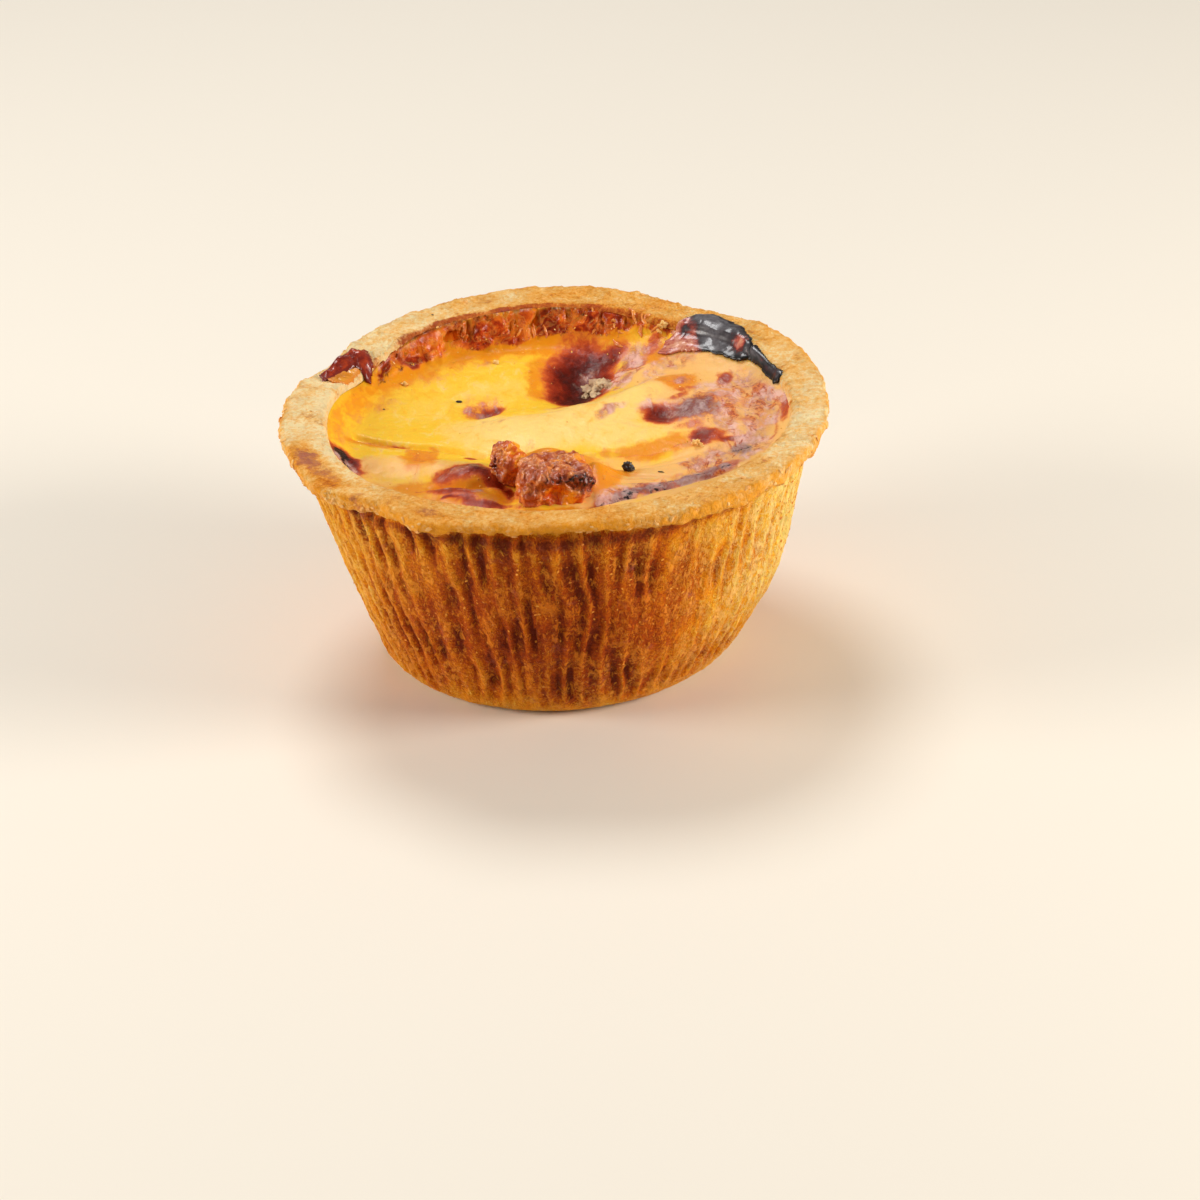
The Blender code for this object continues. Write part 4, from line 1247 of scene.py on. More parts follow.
def pastry_material(look):
    """Flaky pastry: pale threads on its ridges, amber valleys, a pale rim and toasted front, with
    painted light on its lit sides and painted shade at the front and under the lip.
    """
    material, g, shader = new_material("baked_pastry", 0.5, 0.1, scatter=0.1, depth=0.6 * MM)
    place = g.add("ShaderNodeTexCoord").outputs["Object"]
    ridge, toast, wall = g.mark("ridge"), g.mark("toast"), g.mark("wall")
    lip, stain, pale = g.mark("lip"), g.mark("stain"), g.mark("pale")
    fibres = g.stretch(place, 1.0, 1.0, 0.4)
    blotches = g.waver(fibres, 420.0, 5.0, 0.65, 0.6)
    clouds = g.waver(place, 110.0, 3.0, 0.6)
    fine = g.waver(place, 2300.0, 4.0, 0.65)
    web = g.waver(g.stretch(place, 1.0, 1.0, 0.35), 820.0, 4.0, 0.6, 1.6)
    web = g.remap(g.math("ABSOLUTE", web), 0.045, 0.0)
    web = g.product(web, g.remap(g.noise(place, 300.0, 2.0), 0.42, 0.6), g.remap(ridge, 0.3, 0.9))

    threads = g.stretch(place, 1.0, 1.0, 0.5)
    flecks = g.noise(threads, 1250.0, 3.0, 0.6, 0.6)
    clumps = g.waver(threads, 330.0, 3.0, 0.6)
    flecks = g.remap(g.total(flecks, g.product(clumps, 0.5), g.product(ridge, 0.07)), 0.58, 0.68)
    lace = g.waver(threads, 640.0, 4.0, 0.62, 1.4)
    lace = g.remap(g.math("ABSOLUTE", lace), 0.05, 0.0)
    # The golden mark is partly painted light: here and below it makes the lit sides paler and
    # lacier.
    lace = g.product(lace, g.remap(g.total(clumps, g.product(g.mark("golden"), 0.2)), -0.04, 0.1))

    valley = g.product(g.math("SUBTRACT", 1.0, ridge), 0.62)
    value = g.total(0.28, valley, g.product(blotches, 0.7), g.product(clouds, 0.5))
    value = g.total(value, g.product(fine, 0.9), g.product(toast, 0.5), g.product(web, -0.3))
    # The neck mark paints shade under the lip: the wall is darker there.
    value = g.total(value, g.product(g.mark("golden"), -0.2), g.product(g.mark("neck"), 0.4))
    stops = (
        (0.0, srgb(255, 218, 112)),
        (0.18, solid(look.pale)),
        (0.42, solid(look.golden)),
        (0.68, solid(look.toasted)),
        (1.0, solid(look.dark)),
    )
    wall_colour = g.ramp(value, stops)
    gilt = g.mix(g.mark("golden"), srgb(252, 184, 60), srgb(255, 220, 140))
    gilt = g.mix(g.product(toast, 0.9), gilt, srgb(240, 140, 24))
    # Flecks and lace fade out in the painted shade under the lip.
    clear_of_neck_shade = g.math("SUBTRACT", 1.0, g.mark("neck"))
    wall_colour = g.mix(g.product(flecks, clear_of_neck_shade, 0.55), wall_colour, gilt)
    laced = g.product(lace, clear_of_neck_shade, g.total(0.5, g.product(g.mark("golden"), 0.3)))
    wall_colour = g.mix(laced, wall_colour, gilt)
    # The toast mark makes the wall redder and darker; at the front this is partly painted shade.
    wall_colour = g.mix(g.product(toast, 0.6), wall_colour, srgb(240, 184, 160), "MULTIPLY")

    patches = g.waver(place, 230.0, 5.0, 0.62, 0.4)
    sand = g.waver(place, 1100.0, 4.0, 0.7, 0.3)
    value = g.total(0.4, g.product(patches, 0.7), g.product(fine, 0.6), g.product(sand, 0.9))
    # The pale mark is painted light: it makes the rim paler on its lit sides.
    value = g.total(value, g.product(lip, 0.16), g.product(pale, -0.42), g.product(toast, 0.6))
    value = g.total(value, g.product(clouds, 0.35))
    stops = (
        (0.0, srgb(255, 228, 172)),
        (0.3, srgb(248, 188, 102)),
        (0.55, srgb(232, 148, 46)),
        (0.8, srgb(186, 88, 20)),
        (1.0, srgb(106, 44, 18)),
    )
    rim_colour = g.ramp(value, stops)
    crusty = g.product(lip, g.remap(g.total(patches, g.product(sand, 0.8)), -0.2, 0.15), 0.7)
    rim_colour = g.mix(crusty, rim_colour, srgb(252, 170, 36))
    colour = g.mix(g.remap(wall, 0.15, 0.6), rim_colour, wall_colour)
    stained = g.total(stain, g.product(patches, 1.8), g.product(clouds, 1.0), g.product(sand, 0.4))
    stained = g.remap(stained, 0.35, 0.75)
    burnish = g.remap(g.total(patches, g.product(sand, 0.8)), -0.2, 0.2)
    burnish = g.mix(burnish, srgb(226, 128, 52), srgb(168, 58, 20))
    colour = g.mix(g.product(stained, 0.9), colour, burnish)
    bruise = g.total(g.mark("bruise"), g.product(patches, 2.4), g.product(sand, 0.9))
    bruise = g.remap(bruise, 0.2, 0.9)
    colour = g.mix(g.product(bruise, 0.8), colour, srgb(180, 108, 92))
    height = g.total(g.product(blotches, 0.6), g.product(fine, 0.8), g.product(web, 0.2))
    height = g.total(height, g.product(sand, g.remap(wall, 0.2, 0.6, 1.8, 0.5)))
    raised = g.product(g.math("MAXIMUM", flecks, lace), wall, 0.35)
    height = g.total(height, raised)
    roughness = g.remap(web, 0.0, 1.0, 0.55, 0.35)
    finish_material(g, shader, colour, roughness, height, 0.85, 0.45 * MM)
    return material


def toast_stops():
    return (
        (0.0, srgb(244, 168, 66)),
        (0.2, srgb(230, 130, 46)),
        (0.38, srgb(204, 90, 36)),
        (0.56, srgb(160, 52, 22)),
        (0.78, srgb(108, 22, 6)),
        (1.0, srgb(44, 10, 6)),
    )


def custard_material(look):
    """Baked custard: cream mounds, yellow pool, amber edges, browned skin, and filmed skin painted
    with a mauve sheen.
    """
    material, g, shader = new_material(
        "baked_custard", 0.4, 0.13, coat=0.06, scatter=0.3, depth=1.2 * MM
    )
    place = g.add("ShaderNodeTexCoord").outputs["Object"]
    drawn = g.stretch(place, 1.0, 0.6, 1.0)
    mottle = g.waver(drawn, 240.0, 4.0, 0.6, 0.5)
    small = g.waver(drawn, 600.0, 4.0, 0.62, 0.7)
    fine = g.waver(place, 1700.0, 3.0, 0.6)
    film, band, toast = g.mark("film"), g.mark("band"), g.mark("toast")

    cream = g.total(g.mark("cream"), g.product(mottle, 0.9), g.product(small, 0.4))
    colour = g.mix(g.remap(cream, 0.05, 0.95), solid(look.yolk), solid(look.cream))
    pale = g.remap(g.total(g.product(small, 1.0), g.product(mottle, 0.8)), 0.03, 0.24)
    colour = g.mix(g.product(pale, 0.7), colour, srgb(252, 218, 124))
    deep = g.remap(g.total(g.product(small, -0.8), g.product(mottle, -1.0)), 0.06, 0.3)
    colour = g.mix(g.product(deep, 0.5), colour, srgb(246, 172, 34))
    peach = g.total(g.mark("peach"), g.product(mottle, 0.9), g.product(small, 0.7))
    colour = g.mix(g.product(g.remap(peach, 0.1, 0.75), 0.9), colour, srgb(248, 188, 112))
    amber = g.total(g.mark("amber"), g.product(mottle, 1.25), g.product(small, 1.0))
    amber = g.remap(amber, 0.1, 0.72)
    colour = g.mix(g.product(amber, 0.92), colour, solid(look.amber))

    uneven = g.total(g.product(mottle, 0.5), g.product(small, 0.55), g.product(fine, 0.15))
    swing = g.remap(g.total(toast, g.product(film, 0.4)), 0.0, 0.4, 0.25, 1.0)
    tone = g.total(toast, g.product(uneven, swing))
    shown = g.remap(tone, 0.06, 0.42)
    colour = g.mix(shown, colour, g.ramp(tone, toast_stops()))

    patches = g.remap(g.noise(drawn, 300.0, 5.0, 0.66, 0.8), 0.36, 0.62)
    # Painted sheen: a mauve painted reflection of the lights over the filmed skin.
    sheen_share = g.total(film, g.product(small, 1.1), g.product(mottle, 0.8), g.product(fine, 0.2))
    sheen_share = g.product(g.remap(sheen_share, 0.2, 0.85), g.remap(patches, 0.0, 1.0, 0.2, 0.95))
    tint = g.remap(g.total(small, mottle), -0.26, 0.22)
    painted_sheen = g.mix(tint, srgb(172, 92, 80), srgb(240, 192, 176))
    colour = g.mix(sheen_share, colour, painted_sheen)
    blots = g.remap(g.noise(drawn, 400.0, 4.0, 0.64, 1.0), 0.5, 0.63)
    blots = g.product(blots, g.remap(film, 0.25, 0.8), 0.85)
    embers = g.mix(g.remap(fine, -0.1, 0.1), srgb(168, 60, 34), srgb(226, 128, 56))
    colour = g.mix(blots, colour, embers)

    ash = g.total(g.mark("ash"), g.product(small, 1.3), g.product(mottle, 1.2))
    ash = g.remap(g.total(ash, g.product(fine, 0.3)), 0.25, 0.9)
    plates = g.remap(g.total(small, mottle, g.product(fine, 0.3)), -0.2, 0.2)
    ashen = g.mix(plates, srgb(108, 58, 56), srgb(180, 150, 146))
    colour = g.mix(g.product(ash, 0.85), colour, ashen)

    strands = g.waver(place, 330.0, 3.0, 0.55, 0.8)
    lines = g.remap(g.math("ABSOLUTE", strands), 0.05, 0.0)
    level = g.total(0.44, g.product(strands, 1.0), g.product(mottle, 2.4), g.product(small, 1.2))
    stops = (
        (0.0, srgb(240, 136, 36)),
        (0.3, srgb(222, 104, 30)),
        (0.6, srgb(172, 56, 18)),
        (1.0, srgb(84, 20, 10)),
    )
    caramel = g.mix(g.product(lines, 0.22), g.ramp(level, stops), srgb(250, 178, 92))
    edge = g.total(band, g.product(mottle, 1.0), g.product(small, 0.8))
    burnt = g.remap(edge, 0.3, 0.55)
    colour = g.mix(burnt, colour, caramel)

    char = g.total(g.mark("char"), g.product(small, 0.9), g.product(fine, 0.9))
    char = g.remap(char, 0.3, 0.6)
    colour = g.mix(char, colour, srgb(38, 22, 22))

    specks = g.add("ShaderNodeTexVoronoi", {"Vector": place, "Scale": 900.0}).outputs[0]
    specks = g.product(g.remap(specks, 0.24, 0.1), g.remap(mottle, 0.0, 0.12))
    specks = g.product(specks, g.total(0.15, amber, g.product(toast, 0.5)))
    crinkle = crinkled(g, 1500.0, 0.0)
    rough = g.product(crinkle, g.total(0.25, toast, g.product(film, 0.3)))
    height = g.total(rough, g.product(lines, burnt, 0.6), g.product(specks, 1.2))
    height = g.total(height, g.product(small, 0.7))
    roughness = g.total(0.42, g.product(amber, -0.06), g.product(burnt, -0.16))
    finish_material(g, shader, colour, roughness, height, 0.5, 0.3 * MM)
    return material


def burnt_skin_material(name, stops, rim_colour, roughness, bump=0.2):
    """Blistered skin, from pale to burnt by its shade, with a greasy shine and dark edges; a ramp
    may also hold the grey of painted sheen.
    """
    material, g, shader = new_material(name, roughness, 0.4, coat=0.3)
    place = g.add("ShaderNodeTexCoord").outputs["Object"]
    edge, shade, fold = g.mark("edge"), g.mark("shade"), g.mark("fold")
    blotches = g.waver(place, 420.0, 4.0, 0.62, 0.6)
    fine = g.waver(place, 1500.0, 4.0, 0.65)
    tone = g.total(shade, g.product(blotches, 0.8), g.product(fine, 0.5))
    colour = g.ramp(tone, stops)
    dark = g.total(g.math("MAXIMUM", edge, g.product(fold, 0.6)), g.product(blotches, 0.7))
    dark = g.product(g.remap(dark, 0.4, 0.8), g.remap(shade, 0.3, 0.5))
    colour = g.mix(dark, colour, rim_colour)
    finish_material(g, shader, colour, None, crinkled(g, 1100.0, 0.0), bump, 0.25 * MM)
    return material


def bacon_material(look):
    """Toasted bacon: mauve-brown crust, orange fat and bubbles, black crags, painted shade and a
    painted red glow.
    """
    material, g, shader = new_material(
        "toasted_bacon", 0.35, 0.4, coat=0.2, scatter=0.1, depth=0.8 * MM
    )
    place = g.add("ShaderNodeTexCoord").outputs["Object"]
    crag, bubble = g.mark("crag"), g.mark("bubble")
    dark, glow = g.mark("dark"), g.mark("glow")
    patches = g.noise(place, 420.0, 4.0, 0.62, 0.6)
    fine = g.waver(place, 1500.0, 4.0, 0.65)
    colour = g.mix(g.remap(patches, 0.44, 0.62), solid(look.meat), srgb(228, 142, 74))
    mauve = g.remap(g.noise(place, 600.0, 3.0, 0.6), 0.5, 0.62)
    colour = g.mix(g.product(mauve, 0.4), colour, srgb(186, 116, 96))
    # The glow mark carries a painted orange glow: light through the bacon, and painted light on its
    # lit sides.
    painted_glow_colour = g.mix(g.remap(patches, 0.4, 0.6), srgb(214, 88, 8), srgb(250, 162, 24))
    colour = g.mix(g.remap(g.total(glow, fine), 0.2, 0.7), colour, painted_glow_colour)
    colour = g.mix(g.product(bubble, 0.4), colour, solid(look.fat))
    # Darker in crags and where the dark mark lies, which holds both char and painted shade.
    deep = g.total(g.product(crag, 1.4), g.product(fine, 1.2), g.product(dark, 1.0), -0.2)
    deep = g.total(deep, g.product(glow, -0.6))
    colour = g.mix(g.product(g.remap(deep, 0.2, 0.8), 0.9), colour, srgb(122, 42, 22))
    black = g.remap(g.total(g.product(dark, 0.7), g.product(fine, 1.6)), 0.62, 0.86)
    colour = g.mix(black, colour, srgb(26, 12, 12))
    finish_material(g, shader, colour, None, crinkled(g, 1300.0, 0.5), 0.35, 0.25 * MM)
    return material


def grain_material(name, light, dark, roughness, coat=0.0, scatter=0.0):
    """Small crumbs, flakes, beads or specks of one kind, each a little different."""
    material, g, shader = new_material(name, roughness, 0.4, coat=coat, scatter=scatter)
    place = g.add("ShaderNodeTexCoord").outputs["Object"]
    tone = g.remap(g.noise(place, 420.0, 3.0, 0.6), 0.3, 0.7)
    finish_material(g, shader, g.mix(tone, light, dark), None, g.noise(place, 3000.0, 2.0), 0.3)
    return material


def floor_material(look):
    """A plain pale matt floor with the faintest unevenness."""
    material, g, shader = new_material("pale_floor", 0.6)
    place = g.add("ShaderNodeTexCoord").outputs["Object"]
    cloud = g.noise(place, 3.0, 3.0)
    tint = tuple(0.97 * value for value in look.floor[:3])
    finish_material(g, shader, g.mix(cloud, solid(look.floor), (*tint, 1.0)))
    return material


# ---------------------------------------------------------------- pieces


def dress(piece, node=None):
    """Hangs a piece on the body, and hides the imported part that it stands for, if one is given.
    """
    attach(piece, BODY)
    if node:
        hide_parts(node)


def case_rows():
    """The rings of the case, from its underside over the lip and down inside.

    Each value is a place, then the shares of wall, lip and rim there.
    """
    angles = np.arange(CASE_COLUMNS) * 360.0 / CASE_COLUMNS
    rim = Rim(angles)
    stretch = rim.height / RIM_HEIGHT
    flat = np.zeros(CASE_COLUMNS)
    rows, spacings = [], []

    def add(radius, height, spacing, wall=0.0, lip=0.0, top=0.0):
        turns = np.radians(angles)
        place = (radius * np.cos(turns), radius * np.sin(turns), height)
        shares = (flat + wall, flat + lip, flat + top)
        rows.append(np.stack((*place, *shares), axis=1))
        spacings.append(spacing)

    for share in (0.25, 0.6, 0.93):
        add(share * OUTER_WALL[0][1] + flat, flat, 6.0 * MM)
    for height, radius in OUTER_WALL:
        wall = min(1.0, height / (2.0 * MM))
        add(radius + rim.wall_bulge(height), height * stretch, CASE_SPACING, wall=wall)
    for place, (outwards, upwards) in enumerate(LIP):
        on_top = place >= 4
        ledge = around(LIP_LEDGES, angles) if place == 2 else 0.0
        sag = around(LIP_SAGS, angles) if place < 3 else 0.0
        add(
            rim.outside + outwards - ledge,
            rim.height + upwards - sag,
            CASE_SPACING,
            wall=0.5 if place == 0 else 0.0,
            lip=0.2 if on_top else 1.0,
            top=1.0 if on_top else 0.0,
        )
    add(rim.edge + 1.0 * MM, rim.height - 0.45 * RIM_EDGE_DROP, CASE_SPACING, top=1.0)
    add(rim.edge, rim.height - RIM_EDGE_DROP, CASE_SPACING, top=1.0)
    for height, _ in INNER_WALL:
        add(rim.inner_wall(height), height * stretch, 4.0 * MM)
    result = smooth_rows(np.array(rows), spacings[:-1])
    result[:, :, 2] = np.maximum(result[:, :, 2], 0.0)
    return angles, result


def make_case(look):
    """The pleated pastry case."""
    angles, rows = case_rows()
    x, y, z = rows[:, :, 0], rows[:, :, 1], rows[:, :, 2]
    radius, turn = np.hypot(x, y), np.degrees(np.arctan2(y, x)) % 360.0
    wall, lip, top = np.clip(rows[:, :, 3:6], 0.0, 1.0).transpose(2, 0, 1)
    toast = np.zeros(x.shape)
    for direction, height, half_angle, half_height, strength in CASE_BROWNING_AND_SHADE:
        share = np.exp(-(((z - height) / half_height) ** 2)) * wall
        toast += share * around(((direction, half_angle, strength),), turn)
    toast += (1.0 - wall) * stained(RIM_TOASTS, x, y)
    rim = Rim(angles)
    inwards = np.clip(1.0 - (radius - rim.edge) / (1.6 * MM), 0.0, 1.0)
    amber_edge = inwards * around(RIM_AMBER, turn)
    toast += top * amber_edge
    burnt = np.clip(around(((BAND_MIDDLE, 0.9 * BAND_HALF_ANGLE, 1.3),), turn), 0.0, 1.0)
    burnt = burnt * np.clip(0.9 - (radius - rim.edge) / (1.4 * MM), 0.0, 1.0) * (1.0 - wall)
    neck = z / rim.height * RIM_HEIGHT - NECK_SHADE_HEIGHT

    def on_rings(values):
        return np.tile(values, (x.shape[0], 1))

    marks = {
        "turn": on_rings(angles / 360.0),
        "wall": wall,
        "lip": lip,
        "rim": top,
        "pleating": on_rings(0.5 + around(PLEATING, angles)),
        "thin": on_rings(around(THIN_RIDGES, angles)),
        "golden": on_rings(around(GOLDEN_AND_LIT_WALL, angles)),
        # Painted shade in a band under the lip.
        "neck": wall * np.exp(-((neck / NECK_SHADE_HALF_HEIGHT) ** 2)),
        "pale": on_rings(around(RIM_PAINTED_LIGHT, angles)),
        "toast": np.clip(toast, 0.0, 1.0),
        "stain": np.maximum(burnt, (1.0 - wall) * stained(RIM_STAINS, x, y)),
        "bruise": (1.0 - wall) * stained(RIM_BRUISES, x, y),
    }
    floor = (0.0, 0.0, FLOOR_THICKNESS)
    case = lofted_mesh("pastry_case", rows[:, :, :3], (0.0, 0.0, 0.0), floor, marks)
    values = {
        "Pleats": look.pleats,
        "Pleat Depth": look.pleat_depth,
        "Wander": look.wander,
        "Flake Depth": look.flake_depth,
        "Crumble": look.crumble,
        "Material": pastry_material(look),
    }
    apply_tree(case, pleated_tree(), values)
    dress(case, "crust")
    return case


def make_custard(look):
    """The custard, with its stains kept on its points."""
    angles = np.arange(CUSTARD_COLUMNS) * 360.0 / CUSTARD_COLUMNS
    rim = Rim(angles)
    stretch = rim.height / RIM_HEIGHT
    edge_height = rim.height - CUSTARD_EDGE_DROP + around(CARAMEL_CLIMB, angles)
    edge_radius = rim.inner_wall(edge_height) + CLING_REACH
    rows = []
    for height, _ in reversed(INNER_WALL[1:]):
        radius = rim.inner_wall(height) - GAP
        rows.append(polar_rows(radius[None], angles[None], (height * stretch + GAP)[None])[0])
    side_rows = len(rows)
    shares = 1.0 - np.arange(CUSTARD_RINGS) / CUSTARD_RINGS
    radii = shares[:, None] * edge_radius[None, :]
    x, y = radii * np.cos(np.radians(angles)), radii * np.sin(np.radians(angles))
    z = custard_height(x, y, angles[None, :], edge_radius[None, :], edge_height[None, :])
    rows = np.concatenate((np.array(rows), np.stack((x, y, z), axis=2)))

    warped_x, warped_y = x.copy(), y.copy()
    for seed, (size, reach) in enumerate(STAIN_WARPS):
        shift_x, shift_y = drift(x, y, size, WARP_SEED + seed)
        warped_x += shift_x * reach * MM
        warped_y += shift_y * reach * MM
    marks = {name: stained(stains, warped_x, warped_y) for name, stains in STAINS.items()}
    for name, streaks in STREAKS.items():
        for streak in streaks:
            away = distance_to_line(streak.points, warped_x, warped_y)
            line = streak.strength * np.exp(-((away / streak.wide) ** 2))
            marks[name] = np.maximum(marks[name], line)
    inwards = edge_radius[None, :] - np.hypot(warped_x, warped_y)

    def along(places):
        """The share of the edge that is stained, in each column."""
        return np.clip(around(places, angles)[None, :], 0.0, 1.0)

    back = along(((BAND_MIDDLE, BAND_HALF_ANGLE, 1.35),))
    marks["band"] = back * np.clip(1.4 - inwards / BAND_WIDTH, 0.0, 1.0)
    near = np.clip(1.3 - inwards / AMBER_WIDTH, 0.0, 1.0)
    marks["amber"] = np.maximum(marks["amber"], 0.95 * (along(BACK_AMBER) * near))
    marks["cream"] = marks["cream"] * (1.0 - marks["amber"])
    marks["peach"] = np.maximum(marks["peach"], along(FRONT_PEACH) * near)
    marks["amber"] = np.maximum(marks["amber"], along(FRONT_AMBER) * near)
    marks["top"] = np.repeat(np.clip(np.arange(CUSTARD_RINGS) / 3.0, 0.0, 1.0), CUSTARD_COLUMNS)
    marks["top"] = marks["top"].reshape(x.shape)
    below = np.zeros((side_rows, CUSTARD_COLUMNS))
    marks = {name: np.concatenate((below, values)) for name, values in marks.items()}
    bottom = (0.0, 0.0, FLOOR_THICKNESS + GAP)
    centre = custard_height(0.0, 0.0, 0.0, edge_radius[0], edge_height[0])
    custard = lofted_mesh("baked_custard", rows, bottom, (0.0, 0.0, float(centre)), marks)
    values = {
        "Wrinkle Depth": look.wrinkle_depth,
        "Dimple Depth": look.dimple_depth,
        "Material": custard_material(look),
    }
    apply_tree(custard, skin_tree(), values)
    dress(custard, "custard")
    return custard


def inside(outline, x, y):
    """Which points lie inside a closed outline, and how far each is from it, in mm."""
    closed = (*outline, outline[0])
    crossings = np.zeros(np.shape(x), dtype=int)
    for (x0, y0), (x1, y1) in zip(closed, closed[1:]):
        spans = (y / MM >= min(y0, y1)) & (y / MM < max(y0, y1))
        slope = (x1 - x0) / (y1 - y0) if y1 != y0 else 0.0
        crossings += spans & (x / MM < x0 + (y / MM - y0) * slope)
    return crossings % 2 == 1, distance_to_line(closed, x, y)


def band_outline():
    """The outline, in mm, of the uneven browned edge that overlaps the rim at the back."""
    angles = np.arange(BAND_EDGE[0], BAND_EDGE[1], 1.2)
    share = (angles - BAND_EDGE[0]) / (BAND_EDGE[1] - BAND_EDGE[0])
    slim = np.clip(np.sin(share * math.pi), 0.0, 1.0) ** 0.4
    wobble = np.array([noise.noise(Vector((angle * 0.24, 0.0, 3.0))) for angle in angles])
    notch = np.array([noise.noise(Vector((angle * 0.5, 4.0, 0.0))) for angle in angles])
    edge = Rim(angles).edge / MM
    outer = edge + (0.6 + 1.3 * wobble + 0.8 * notch) * slim
    inner = edge - (2.3 - 1.4 * wobble + 0.9 * notch) * slim
    radii = np.concatenate((outer, inner[::-1]))
    turns = np.radians(np.concatenate((angles, angles[::-1])))
    return tuple(zip(radii * np.cos(turns), radii * np.sin(turns)))


def even(shade):
    """The same shade all over a skin."""
    return lambda x, y: np.full_like(x, shade)


def flap_burn_and_sheen(x, y):
    """How far along its ramp the flap is at points in mm: pale at its left end, then the grey of
    painted sheen, black at its right end, with a blot and a hole.
    """
    shade = 0.1 + 0.62 / (1.0 + np.exp(-(x - 24.9 + 0.15 * (y - 28.0)) / 0.45))
    blot = np.exp(-(((x - 23.0) / 1.1) ** 2) - ((y - 29.2) / 1.3) ** 2)
    hole = np.exp(-(((x - 31.9) / 0.9) ** 2) - ((y - 21.0) / 1.1) ** 2)
    shade = shade + np.minimum(1.2 * blot, 1.0) * (0.46 - shade)
    shade = shade + hole * (0.24 - shade)
    return shade - 0.2 / (1.0 + np.exp(-(x - 30.0) / 0.7))


def make_skin(name, outline, material, shade):
    """A thin skin that lies over the surface, inside an outline in mm.

    Its shade is a function of x and y in mm, from 0 to 1.
    """
    form = SKINS[name]
    corners = np.array(outline) * MM
    low, high = corners.min(axis=0) - 0.5 * MM, corners.max(axis=0) + 0.5 * MM
    count_x, count_y = (int(n) for n in np.ceil((high - low) / SKIN_SPACING))
    x, y = np.meshgrid(
        np.linspace(low[0], high[0], count_x), np.linspace(low[1], high[1], count_y)
    )
    shift_x, shift_y = drift(x, y, 2.2, form.seed)
    fine_x, fine_y = drift(x, y, 0.8, form.seed)
    bent_x = x + form.warp * (shift_x + 0.5 * fine_x) * MM
    bent_y = y + form.warp * (shift_y + 0.5 * fine_y) * MM
    within, away = inside(outline, bent_x, bent_y)
    spots = [Vector((a, b, form.seed)) for a, b in zip(np.ravel(x) / MM, np.ravel(y) / MM)]

    def layer(scale, offset=0.0):
        moved = Vector((offset, 0.0, 0.0))
        return np.array([noise.noise(s * scale + moved) for s in spots]).reshape(x.shape)

    slow, crimp, knots = layer(0.2), layer(0.42), layer(1.1)
    fold = np.exp(-((layer(0.3, 7.0) / 0.045) ** 2)) * np.clip(0.7 + 1.6 * crimp, 0.0, 1.0)
    edge = np.exp(-(((away - 0.3) / 0.5) ** 2))
    body = 1.0 - np.exp(-((away / 0.9) ** 2))
    lift = form.rise * body * (0.8 + 0.7 * slow) + form.wave * body * crimp
    lift = lift - form.fold * fold * body + form.bead * edge * (0.8 + 0.9 * crimp + 0.25 * knots)
    flat_x, flat_y = np.ravel(x), np.ravel(y)
    ways = np.radians(np.arange(0.0, 360.0, 45.0))
    steps = zip(SKIN_NEAR * np.cos(ways), SKIN_NEAR * np.sin(ways))
    ground = np.array([top_height(flat_x + step_x, flat_y + step_y) for step_x, step_y in steps])
    ground = np.maximum(np.sort(ground, axis=0)[3:].mean(axis=0), top_height(flat_x, flat_y))
    z = ground.reshape(x.shape) + (SKIN_CLEARANCE + np.maximum(lift, 0.0)) * MM
    index = np.arange(x.size).reshape(x.shape)
    keep = within[:-1, :-1] & within[:-1, 1:] & within[1:, 1:] & within[1:, :-1]
    quads = np.stack(
        (index[:-1, :-1][keep], index[:-1, 1:][keep], index[1:, 1:][keep], index[1:, :-1][keep]),
        axis=1,
    )
    mesh = bpy.data.meshes.new(name)
    points = np.stack((x, y, z), axis=2).reshape(-1, 3)
    mesh.from_pydata(points.tolist(), [], quads.tolist())
    store(mesh, "edge", np.ravel(edge))
    store(mesh, "fold", np.ravel(fold))
    store(mesh, "shade", np.ravel(shade(x / MM, y / MM)))
    data = bmesh.new()
    data.from_mesh(mesh)
    bmesh.ops.delete(data, geom=[v for v in data.verts if not v.link_faces], context="VERTS")
    bmesh.ops.recalc_face_normals(data, faces=data.faces[:])
    data.to_mesh(mesh)
    data.free()
    mesh.shade_smooth()
    mesh.materials.append(material)
    skin = new_object(name, mesh)
    thick = skin.modifiers.new("thickness", "SOLIDIFY")
    thick.thickness = form.thick * MM
    thick.offset = -1.0
    return settled(skin)


def make_bits(name, bits, material, sink=0.25, rough=0.5):
    """Small uneven bits that lie on the upper side, as one piece."""
    data = bmesh.new()
    for number, bit in enumerate(bits):
        made = bmesh.ops.create_icosphere(data, subdivisions=4, radius=1.0)
        turn = Matrix.Rotation(math.radians(bit.turn), 3, "Z")
        ground = float(top_height(np.array([bit.x * MM]), np.array([bit.y * MM]))[0])
        middle = Vector((bit.x, bit.y, bit.tall * (1.0 - 2.0 * sink))) * MM
        middle.z += ground
        for vert in made["verts"]:
            way = vert.co.normalized()
            spot = way * 1.3 + Vector((7.0 * number, 0.0, 0.0))
            lump = noise.noise(spot) + 0.6 * noise.noise(spot * 2.6)
            lump += 0.3 * noise.noise(spot * 5.5)
            size = Vector((bit.across, bit.deep, bit.tall)) * (1.0 + rough * lump)
            vert.co = middle + turn @ Vector((way.x * size.x, way.y * size.y, way.z * size.z)) * MM
    mesh = bpy.data.meshes.new(name)
    data.to_mesh(mesh)
    data.free()
    mesh.shade_smooth()
    mesh.materials.append(material)
    return new_object(name, mesh)


